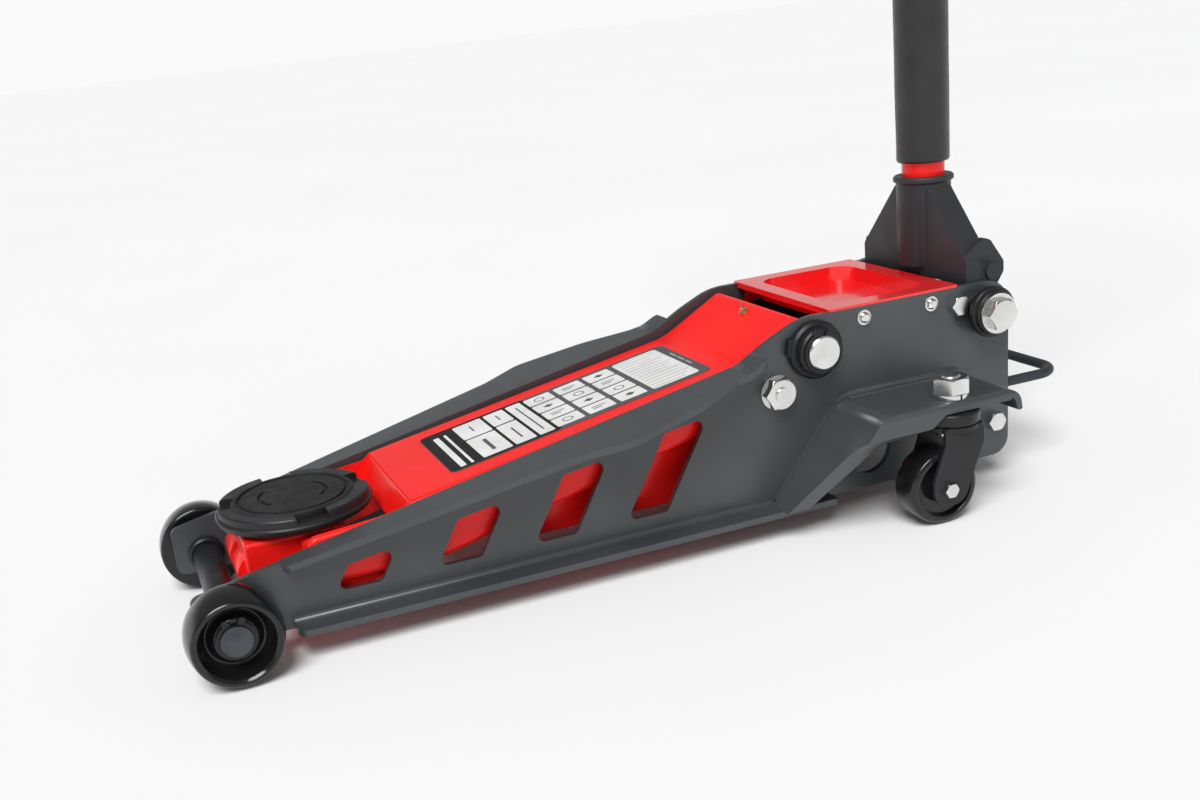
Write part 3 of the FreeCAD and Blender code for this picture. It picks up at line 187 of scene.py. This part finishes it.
def paint(name, dark, light, rough, orange_peel=0.012 * MM, grain=0.0, **sockets):
    """Sprayed enamel: soft colour patches, uneven gloss and orange peel, with casting grain if asked."""
    f = Finish(name, **sockets)
    colour = f.blended(f.ranged(f.noise(9.0, 5.0), 0.0, 1.0), dark, light)
    roughness = f.ranged(f.noise(34.0, 4.0), rough[0], rough[1])
    normal = f.relief(f.noise(420.0, 1.0), orange_peel)
    if grain:
        normal = f.relief(f.noise(900.0, 3.0), grain, normal)
    return f.wire(colour, roughness, normal)


def worked_metal(name, dark, light, rough, stretch=(1, 1, 1), scratch=0.006 * MM, **sockets):
    """Plated or ground metal: cloudy tone, and fine marks drawn out along one direction."""
    f = Finish(name, Metallic=1.0, **sockets)
    cloud = f.noise(60.0, 4.0)
    marks = f.noise(500.0, 4.0, f.stretched(stretch))
    colour = f.blended(f.ranged(cloud, 0.0, 1.0), dark, light)
    roughness = f.ranged(marks, rough[0], rough[1], 0.3, 0.7)
    return f.wire(colour, roughness, f.relief(marks, scratch))


def moulded(name, dark, light, rough, pit_scale, pit_depth, **sockets):
    """Rubber, foam or plastic: dull, faintly mottled, with a pitted skin."""
    f = Finish(name, **sockets)
    colour = f.blended(f.ranged(f.noise(40.0, 4.0), 0.0, 1.0), dark, light)
    roughness = f.ranged(f.noise(120.0, 3.0), rough[0], rough[1])
    return f.wire(colour, roughness, f.relief(f.noise(pit_scale, 4.0), pit_depth))


def printed(name, colour, rough=0.40):
    """Screen ink: nearly even, a little cloudy, faintly dotted."""
    f = Finish(name, Specular_IOR_Level=0.15)
    darker = tuple(c * 0.86 for c in colour)
    mask = f.ranged(f.noise(30.0, 5.0), 0.0, 1.0)
    return f.wire(f.blended(mask, darker, colour), f.ranged(f.noise(200.0), rough, rough + 0.1),
                  f.relief(f.noise(1500.0, 2.0), 0.004 * MM))


def make_finishes():
    return {
        "plate_grey": paint("plate_grey_paint", (0.038, 0.044, 0.048), (0.051, 0.058, 0.063),
                            (0.31, 0.41),
                            orange_peel=0.016 * MM, Specular_IOR_Level=0.6, Coat_Weight=0.15,
                            Coat_Roughness=0.3),
        "socket_grey": paint("socket_grey_paint", (0.022, 0.024, 0.028), (0.031, 0.034, 0.039),
                             (0.42, 0.54),
                             grain=0.02 * MM, Specular_IOR_Level=0.35),
        "black": paint("black_paint", (0.010, 0.010, 0.011), (0.017, 0.017, 0.019), (0.30, 0.42),
                       grain=0.01 * MM, Specular_IOR_Level=0.35),
        "red": paint("gloss_red_paint", (0.90, 0.008, 0.006), (0.98, 0.016, 0.012), (0.28, 0.38),
                     Specular_IOR_Level=0.22, Coat_Weight=0.22, Coat_Roughness=0.06),
        "tray_red": paint("tray_red_enamel", (0.80, 0.008, 0.010), (0.90, 0.014, 0.016), (0.16, 0.26),
                          orange_peel=0.02 * MM, Specular_IOR_Level=0.6, Coat_Weight=0.6,
                          Coat_Roughness=0.05),
        "red_cast": paint("red_cast_paint", (0.82, 0.008, 0.006), (0.93, 0.014, 0.011), (0.32, 0.44),
                          orange_peel=0.03 * MM, grain=0.03 * MM, Specular_IOR_Level=0.25, Coat_Weight=0.25,
                          Coat_Roughness=0.12),
        "roller": paint("roller_black_enamel", (0.005, 0.005, 0.0055), (0.010, 0.010, 0.011), (0.14, 0.24),
                        orange_peel=0.02 * MM, Specular_IOR_Level=0.3, Coat_Weight=0.35,
                        Coat_Roughness=0.06),
        "zinc": worked_metal("bright_zinc", (0.70, 0.70, 0.685), (0.80, 0.80, 0.785), (0.15, 0.21),
                             scratch=0.0004 * MM),
        "brass": worked_metal("nipple_brass", (0.62, 0.44, 0.20), (0.76, 0.56, 0.28), (0.20, 0.30),
                              scratch=0.0004 * MM),
        "steel": worked_metal("ground_steel", (0.33, 0.34, 0.36), (0.46, 0.47, 0.49), (0.24, 0.42),
                              stretch=(1.0, 0.06, 1.0), scratch=0.002 * MM),
        "blue_steel": worked_metal("axle_steel", (0.060, 0.067, 0.076), (0.095, 0.105, 0.117), (0.38, 0.52),
                                   stretch=(1.0, 0.06, 1.0), scratch=0.002 * MM),
        "spring": worked_metal("spring_wire", (0.34, 0.34, 0.35), (0.52, 0.52, 0.53), (0.25, 0.4),
                               scratch=0.002 * MM),
        "saddle": paint("saddle_black", (0.009, 0.009, 0.010), (0.016, 0.016, 0.018), (0.34, 0.48),
                        orange_peel=0.03 * MM, grain=0.03 * MM, Specular_IOR_Level=0.4),
        "rubber": moulded("moulded_rubber", (0.009, 0.009, 0.010), (0.016, 0.016, 0.017), (0.50, 0.68),
                          1400.0, 0.03 * MM, Specular_IOR_Level=0.35),
        "foam": moulded("foam_skin", (0.010, 0.010, 0.011), (0.016, 0.016, 0.017), (0.36, 0.46),
                        900.0, 0.02 * MM, Specular_IOR_Level=0.5, Sheen_Weight=0.05,
                        Sheen_Roughness=0.5),
        "print_black": printed("print_black", (0.012, 0.012, 0.013)),
        "print_grey": printed("print_grey", (0.10, 0.105, 0.11)),
        "print_white": printed("print_white", (0.80, 0.80, 0.79)),
        "print_pale": printed("print_pale", (0.42, 0.42, 0.43)),
        "weld": paint("painted_weld", (0.036, 0.041, 0.045), (0.050, 0.056, 0.062), (0.35, 0.5),
                      grain=0.05 * MM, Specular_IOR_Level=0.6),
    }


NODE_FINISHES = {
    "plate_grey": ("side_plate_near", "side_plate_far", "caster_bracket_near", "caster_bracket_far"),
    "socket_grey": ("handle_socket", "carry_handle", "pump_block"),
    "black": ("pivot_bosses", "handle_pivot_spacers", "circlips", "caster_races", "axle_spacers",
              "reservoir_shell", "release_driver", "caster_fork_near", "caster_fork_far"),
    "tray_red": ("tool_tray",),
    "red": ("lift_arm", "handle_lower_tube", "handle_upper_tube", "arm_pivot_tube",
            "link_bar_near", "link_bar_far"),
    "red_cast": ("saddle_carrier",),
    "roller": ("front_wheel_near", "front_wheel_far", "caster_wheel_near", "caster_wheel_far"),
    "zinc": ("main_pivot_shaft", "frame_bolts", "tray_screws", "link_pivot_bolts", "handle_pivot_bolts",
             "caster_kingpins", "caster_nuts", "caster_lock_washers", "caster_axle_near",
             "caster_axle_far", "filler_plug", "cylinder_gland"),
    "brass": ("grease_nipple",),
    "steel": ("ram", "ram_head", "ram_roller", "ram_roller_pin", "pump_plungers", "pump_rollers",
              "pump_roller_pins", "release_stem", "saddle_pin", "link_cross_pin", "main_cylinder"),
    "blue_steel": ("front_axle",),
    "spring": ("pump_springs", "return_springs"),
    "saddle": ("saddle",),
    "rubber": ("saddle_pad", "handle_grip"),
    "foam": ("foam_sleeve",),
    "print_grey": ("label_plate",),
}


def dress_frame(nodes, finishes):
    """Gives every CAD part its finish, and rounds its sharp edges."""
    for finish, names in NODE_FINISHES.items():
        for name in names:
            node = nodes[name]
            node.data.materials.clear()
            node.data.materials.append(finishes[finish])
            weld = node.modifiers.new("weld", "WELD")
            weld.merge_threshold = 0.01 * MM
            bevel = node.modifiers.new("edges", "BEVEL")
            bevel.width = EDGE_ROUND
            bevel.segments = 2
            bevel.limit_method = "ANGLE"
            bevel.angle_limit = radians(EDGE_ANGLE)
            bevel.use_clamp_overlap = True
            bevel.harden_normals = False


# ---- studio -------------------------------------------------------------------------------------
def place_camera():
    yaw, pitch, roll = (radians(a) for a in (CAMERA_YAW, CAMERA_PITCH, CAMERA_ROLL))
    ahead = Vector((sin(yaw) * cos(pitch), cos(yaw) * cos(pitch), -sin(pitch)))
    right = Vector((cos(yaw), -sin(yaw), 0.0))
    down = ahead.cross(right)
    right, down = cos(roll) * right + sin(roll) * down, -sin(roll) * right + cos(roll) * down
    data = bpy.data.cameras.new("camera")
    data.lens = CAMERA_LENS
    data.shift_x, data.shift_y = CAMERA_SHIFT
    data.clip_end = 100.0
    camera = bpy.data.objects.new("camera", data)
    turn = Matrix((right, -down, -ahead)).transposed().to_4x4()
    camera.matrix_world = Matrix.Translation(CAMERA_AT) @ turn
    bpy.context.scene.collection.objects.link(camera)
    bpy.context.scene.camera = camera


def build_studio():
    """A pale floor, a soft sun from the front left, and a plain sky that is brightest at the horizon."""
    scene = bpy.context.scene
    scene.view_settings.view_transform = "Standard"
    f = Finish("studio_floor", Specular_IOR_Level=0.2)
    tone = f.blended(f.ranged(f.noise(0.8, 2.0), 0.0, 1.0), (0.915, 0.915, 0.915), (0.925, 0.925, 0.925))
    floor_finish = f.wire(tone, f.ranged(f.noise(5.0), 0.75, 0.8))
    corners = [(-FLOOR_HALF, -FLOOR_HALF, 0), (FLOOR_HALF, -FLOOR_HALF, 0), (FLOOR_HALF, FLOOR_HALF, 0),
               (-FLOOR_HALF, FLOOR_HALF, 0)]
    floor = new_mesh("studio_floor", corners, [(0, 1, 2, 3)], floor_finish)

    sun_data = bpy.data.lights.new("soft_sun", "SUN")
    sun_data.energy = SUN_STRENGTH
    sun_data.angle = radians(SUN_SIZE_DEG)
    sun = bpy.data.objects.new("soft_sun", sun_data)
    sun.rotation_euler = Vector(SUN_FROM).to_track_quat("Z", "Y").to_euler()
    scene.collection.objects.link(sun)

    world = bpy.data.worlds.new("studio")
    scene.world = world
    world.use_nodes = True
    nodes, links = world.node_tree.nodes, world.node_tree.links
    background = nodes["Background"]
    place = nodes.new("ShaderNodeTexCoord")
    split = nodes.new("ShaderNodeSeparateXYZ")
    ramp = nodes.new("ShaderNodeValToRGB")
    links.new(place.outputs["Generated"], split.inputs["Vector"])
    links.new(split.outputs["Z"], ramp.inputs["Fac"])
    ramp.color_ramp.elements[0].position = 0.06
    ramp.color_ramp.elements[0].color = (SKY_LOW, SKY_LOW, SKY_LOW, 1)
    ramp.color_ramp.elements[1].position = 0.35
    ramp.color_ramp.elements[1].color = (SKY_HIGH, SKY_HIGH, SKY_HIGH * 1.02, 1)
    links.new(ramp.outputs["Color"], background.inputs["Color"])


# ---- mesh helpers -------------------------------------------------------------------------------
def new_mesh(name, points, faces, finish, smooth=False):
    mesh = bpy.data.meshes.new(name)
    mesh.from_pydata([tuple(p) for p in points], [], faces)
    mesh.materials.append(finish)
    mesh.validate()
    for polygon in mesh.polygons:
        polygon.use_smooth = smooth
    obj = bpy.data.objects.new(name, mesh)
    bpy.context.scene.collection.objects.link(obj)
    return obj


def swept(name, path, radii, finish, sides=10):
    """A round section swept along a path of points, closed at both ends. radii has one radius a point."""
    points, faces = [], []
    side = None
    for i, here in enumerate(path):
        ahead = (path[min(i + 1, len(path) - 1)] - path[max(i - 1, 0)]).normalized()
        if side is None:
            side = ahead.orthogonal().normalized()
        side = (side - ahead * side.dot(ahead)).normalized()
        up = ahead.cross(side)
        for k in range(sides):
            angle = tau * k / sides
            points.append(here + (side * cos(angle) + up * sin(angle)) * radii[i])
    for i in range(len(path) - 1):
        for k in range(sides):
            a, b = i * sides + k, i * sides + (k + 1) % sides
            faces.append((a, b, b + sides, a + sides))
    faces.append(tuple(reversed(range(sides))))
    faces.append(tuple(range(len(points) - sides, len(points))))
    return new_mesh(name, points, faces, finish, smooth=True)


def lathed(name, profile, x, y, finish, segments=96, shape=None):
    """A closed turned shape about the upright line at x, y, from a closed loop of (radius, z) points.
    shape(radius, z, angle) may change the radius."""
    points, faces = [], []
    for r, z in profile:
        for k in range(segments):
            angle = tau * k / segments
            reach = shape(r, z, angle) if shape else r
            points.append(Vector((x + reach * cos(angle), y + reach * sin(angle), z)))
    rows = len(profile)
    for i in range(rows):
        for k in range(segments):
            j, m = (i + 1) % rows, (k + 1) % segments
            faces.append((i * segments + k, i * segments + m, j * segments + m, j * segments + k))
    return new_mesh(name, points, faces, finish, smooth=True)


# ---- pieces -------------------------------------------------------------------------------------
def coil_path(start, end, radius, turns, steps=20):
    """Points of an evenly wound spring from start to end, steps points a turn."""
    axis = end - start
    ahead = axis.normalized()
    side = ahead.orthogonal().normalized()
    up = ahead.cross(side)
    count = int(turns * steps)
    path = []
    for i in range(count + 1):
        t = i / count
        angle = tau * turns * t
        path.append(start + axis * t + (side * cos(angle) + up * sin(angle)) * radius)
    return path


def node_parts(node):
    """The lowest and highest corners of a CAD node's near solid and of its far one."""
    near, far = [], []
    for vertex in node.data.vertices:
        (near if vertex.co.y < 0 else far).append(vertex.co)
    corners = []
    for group in (near, far):
        low = Vector(min(p[i] for p in group) for i in range(3))
        high = Vector(max(p[i] for p in group) for i in range(3))
        corners.append((low, high))
    return corners


def build_springs(nodes, finishes):
    """Wound pump and return springs in the room of their plain CAD sleeves."""
    for label, (low, high) in zip(("near", "far"), node_parts(nodes["pump_springs"])):
        y, z = (low.y + high.y) / 2, (low.z + high.z) / 2
        radius = (high.z - low.z) / 2 - PUMP_WIRE
        path = coil_path(Vector((low.x + PUMP_WIRE, y, z)), Vector((high.x - PUMP_WIRE, y, z)), radius,
                         PUMP_TURNS)
        spring = swept(f"pump_spring_{label}", path, [PUMP_WIRE] * len(path), finishes["spring"], 8)
        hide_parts("pump_springs")
        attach(spring, "frame")
        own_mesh(spring)
    for label, (low, high) in zip(("near", "far"), node_parts(nodes["return_springs"])):
        y, z = (low.y + high.y) / 2, (low.z + high.z) / 2
        radius = (high.z - low.z) / 2 - RETURN_WIRE
        turns = (high.x - low.x) / (RETURN_PITCH * RETURN_WIRE)
        path = coil_path(Vector((low.x + 6 * MM, y, z)), Vector((high.x - 6 * MM, y, z)), radius, turns)
        front = [Vector((low.x + reach, y, z)) for reach in (0.5 * MM, 4 * MM)]
        rear = [Vector((high.x - reach, y, z)) for reach in (4 * MM, 0.5 * MM)]
        path = front + path + rear
        spring = swept(f"return_spring_{label}", path, [RETURN_WIRE] * len(path), finishes["spring"], 8)
        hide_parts("return_springs")
        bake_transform(spring)


def build_foam(finishes):
    """The foam sleeve on the handle: a soft tube with rounded ends and a slightly uneven skin."""
    low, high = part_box("foam_sleeve")
    x, y = (low.x + high.x) / 2, (low.y + high.y) / 2
    outer, inner = (high.x - low.x) / 2, HANDLE_TUBE_R
    rows = 90
    profile = [(inner, low.z + 0.5 * MM), (inner + 1.5 * MM, low.z)]
    edge = 2.2 * MM
    profile += [(outer - edge, low.z), (outer - 0.8 * MM, low.z + 0.6 * MM), (outer, low.z + edge)]
    for i in range(1, rows):
        profile.append((outer, low.z + edge + (high.z - low.z - 2 * edge) * i / rows))
    profile += [(outer, high.z - edge), (outer - 0.8 * MM, high.z - 0.6 * MM), (outer - edge, high.z),
                (inner + 1.5 * MM, high.z), (inner, high.z - 0.5 * MM)]

    def uneven(r, z, angle):
        if r < inner + 2 * MM:
            return r
        bump = noise.noise(Vector((cos(angle) * 1.6, sin(angle) * 1.6, z * 22.0)))
        return r - 0.35 * MM + 0.35 * MM * bump

    foam = lathed("foam_tube", profile, x, y, finishes["foam"], 96, uneven)
    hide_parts("foam_sleeve")
    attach(foam, "handle")


class PrintedPlate:
    """Lays flat printed shapes on the sloping top of the arm's plate.
    u runs back from the plate's front edge and v to the far side from its middle, in metres."""

    LAYER = 0.05 * MM

    def __init__(self):
        low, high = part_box("label_plate")
        self.thick = 0.5 * MM
        self.origin = Vector((low.x, 0.0, low.z + self.thick))
        self.length, self.half = high.x - low.x, (high.y - low.y) / 2
        self.slope = (high.z - low.z - self.thick) / self.length
        self.points, self.faces = [], []

    def spot(self, u, v, layer):
        return self.origin + Vector((u, v, self.slope * u + layer * self.LAYER))

    def outline(self, ring, layer):
        """One closed flat shape from its (u, v) outline, a layer thick."""
        first, count = len(self.points), len(ring)
        for height in (layer - 1, layer):
            self.points += [self.spot(u, v, height) for u, v in ring]
        self.faces.append(tuple(range(first + count, first + 2 * count)))
        self.faces.append(tuple(reversed(range(first, first + count))))
        for k in range(count):
            m = (k + 1) % count
            self.faces.append((first + k, first + m, first + count + m, first + count + k))

    def panel(self, u0, u1, v0, v1, layer, r=1.5 * MM):
        """A rectangle with rounded corners."""
        ring = []
        centres = ((u1 - r, v1 - r), (u0 + r, v1 - r), (u0 + r, v0 + r), (u1 - r, v0 + r))
        for quarter, (cu, cv) in enumerate(centres):
            for k in range(5):
                angle = (quarter + k / 4) * pi / 2
                ring.append((cu + r * cos(angle), cv + r * sin(angle)))
        self.outline(ring, layer)

    def ring_mark(self, u, v, outer, width, layer, sides=20):
        """A round mark, drawn as short blocks so that its middle stays open."""
        def at(radius, angle):
            return u + radius * cos(angle), v + radius * sin(angle)

        inner = outer - width
        for k in range(sides):
            a, b = tau * k / sides, tau * (k + 1) / sides
            self.outline([at(inner, a), at(outer, a), at(outer, b), at(inner, b)], layer)

    def finish(self, name, finish):
        """Makes one piece of the shapes laid since the last one."""
        printed_shapes = new_mesh(name, self.points, self.faces, finish)
        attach(printed_shapes, "arm")
        self.points, self.faces = [], []


def build_print(finishes):
    """Blank generic graphics on the arm's plate: bands, empty boxes, plain marks and ruled lines."""
    plate = PrintedPlate()
    edge = plate.half
    inner = edge - PRINT_MARGIN

    def at(share):
        return plate.length * share

    plate.panel(at(0.002), at(0.415), -edge + 0.4 * MM, edge - 0.4 * MM, 1, 5 * MM)
    plate.finish("print_front_band", finishes["print_black"])

    for u0, u1 in PRINT_STRIPES:
        plate.panel(at(u0), at(u1), -inner, inner - 8 * MM, 2, 0.8 * MM)
    split = 0.12 * edge
    for u0, u1 in PRINT_PAIRS:
        plate.panel(at(u0), at(u1), -inner, split - PRINT_GAP / 2, 2)
        plate.panel(at(u0), at(u1), split + PRINT_GAP / 2, inner, 2)
        split += 0.08 * edge
    plate.panel(at(PRINT_STRIP[0]), at(PRINT_STRIP[1]), -inner, inner, 2)
    pitch = 2 * inner / PRINT_ROWS
    middles = []
    for u0, u1 in PRINT_COLUMNS:
        for row in range(PRINT_ROWS):
            v0 = -inner + row * pitch
            plate.panel(at(u0), at(u1), v0 + PRINT_GAP / 2, v0 + pitch - PRINT_GAP / 2, 2)
            middles.append((at((u0 + u1) / 2), v0 + pitch / 2))
    box_start, box_end = (at(share) for share in PRINT_BIG_BOX)
    plate.panel(box_start, box_end, -inner, inner, 2, 3 * MM)
    plate.finish("print_boxes", finishes["print_white"])

    # ruled lines of uneven length in the big box, and three short dashes behind it
    for k in range(PRINT_RULES):
        v = inner - 4 * MM - k * (2 * inner - 8 * MM) / (PRINT_RULES - 1)
        reach = at(PRINT_BIG_BOX[1] - 0.010) - (k * 7 % 5) * 2.2 * MM
        plate.panel(at(PRINT_BIG_BOX[0] + 0.010), reach, v - 0.5 * MM, v + 0.5 * MM, 3, 0.3 * MM)
    for v in (-0.30, 0.0, 0.30):
        plate.panel(at(0.978), at(0.985), edge * v - 6 * MM, edge * v + 6 * MM, 1, 0.5 * MM)
    plate.finish("print_rules", finishes["print_pale"])

    # a ring, two bars or a diamond by turns in the small boxes, and bars in the front ones
    for k, (u, v) in enumerate(middles):
        if k % 3 == 0:
            plate.ring_mark(u, v, 4.6 * MM, 1.0 * MM, 3)
        elif k % 3 == 1:
            plate.panel(u - 6 * MM, u + 6 * MM, v + 1.2 * MM, v + 2.6 * MM, 3, 0.5 * MM)
            plate.panel(u - 6 * MM, u + 2 * MM, v - 2.6 * MM, v - 1.2 * MM, 3, 0.5 * MM)
        else:
            plate.outline([(u - 4.5 * MM, v), (u, v - 3.5 * MM), (u + 4.5 * MM, v), (u, v + 3.5 * MM)], 3)
    for u0, u1, v0, v1 in PRINT_BARS:
        plate.panel(at(u0), at(u1), edge * v0, edge * v1, 3, 0.6 * MM)
    plate.finish("print_marks", finishes["print_grey"])


def build_grip(finishes):
    """The rubber grip: ring grooves, long flutes between them and a domed end."""
    low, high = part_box("handle_grip")
    x, y = (low.x + high.x) / 2, (low.y + high.y) / 2
    outer, inner = (high.x - low.x) / 2, HANDLE_TUBE_R
    body = outer - 1.5 * MM
    cap = high.z - 8.5 * MM
    profile = [(inner, low.z), (outer - 1.5 * MM, low.z), (outer - 0.3 * MM, low.z + 0.8 * MM),
               (outer, low.z + 2.5 * MM), (outer, low.z + 6 * MM), (outer - 0.5 * MM, low.z + 8 * MM),
               (body, low.z + 10 * MM)]
    first, last = low.z + 14 * MM, high.z - 16 * MM
    pitch = (last - first) / GRIP_RINGS
    groove = body - GRIP_RING_DEPTH
    for k in range(GRIP_RINGS):
        z = first + k * pitch
        profile += [(body, z), (body, z + pitch * 0.36), (body, z + pitch * 0.66),
                    (groove, z + pitch * 0.74), (groove, z + pitch * 0.90)]
    profile += [(body, last), (body, high.z - 9 * MM), (body - 1.0 * MM, high.z - 4 * MM),
                (body - 3.5 * MM, high.z - 1.2 * MM), (body - 8 * MM, high.z), (0.5 * MM, high.z),
                (0.5 * MM, cap), (inner, cap)]

    def fluted(r, z, angle):
        if abs(r - body) > 0.01 * MM or not first < z < last:
            return r
        return r - GRIP_FLUTE_DEPTH * (0.5 - 0.5 * cos(GRIP_FLUTES * angle)) ** 2

    grip = lathed("ribbed_grip", profile, x, y, finishes["rubber"], 216, fluted)
    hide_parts("handle_grip")
    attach(grip, "handle")


def bead(name, start, end, size, finish, seed):
    """A straight weld bead on the frame, with the ripple of its pools."""
    run = end - start
    count = max(2, int(run.length / BEAD_STEP))
    path, radii = [], []
    for k in range(count):
        travelled = run.length * k / count
        wander = noise.noise(Vector((travelled * 90, seed, 0.0)))
        path.append(start + run * k / count + Vector((0, 0, 0.25 * MM * wander)))
        ripple = abs(sin(travelled / BEAD_POOL * pi))
        radii.append(size * (0.86 + 0.16 * ripple + 0.06 * wander))
    path.append(end)
    radii[0] = size * 0.6
    radii.append(size * 0.6)
    piece = swept(name, path, radii, finish, 12)
    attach(piece, "frame")


def build_welds(finishes):
    """Beads where the caster wings and the carry handle meet the side plates."""
    weld = finishes["weld"]
    for side, label in ((-1, "near"), (1, "far")):
        low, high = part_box(f"caster_bracket_{label}")
        y = side * (min(abs(low.y), abs(high.y)) + 5.6 * MM)
        deck = high.z - 5.2 * MM
        bead(f"weld_wing_{label}", Vector((low.x + 74 * MM, y, deck)), Vector((high.x - 17 * MM, y, deck)),
             1.7 * MM, weld, side * 3.0)
        low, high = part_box("carry_handle")
        rod = (high.z - low.z) / 2
        y = side * (max(abs(low.y), abs(high.y)) - rod * 0.35)
        for edge, z, seed in (("top", high.z - 0.6 * MM, 7.0), ("low", low.z + 0.6 * MM, 9.0)):
            bead(f"weld_loop_{label}_{edge}", Vector((low.x + 1 * MM, y, z)),
                 Vector((low.x + 22 * MM, y, z)), 1.6 * MM, weld, side * seed)


# ---- the scene ----------------------------------------------------------------------------------
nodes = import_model()["nodes"]
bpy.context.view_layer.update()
finishes = make_finishes()
dress_frame(nodes, finishes)
build_springs(nodes, finishes)
build_foam(finishes)
build_grip(finishes)
build_print(finishes)
build_welds(finishes)
build_studio()
place_camera()
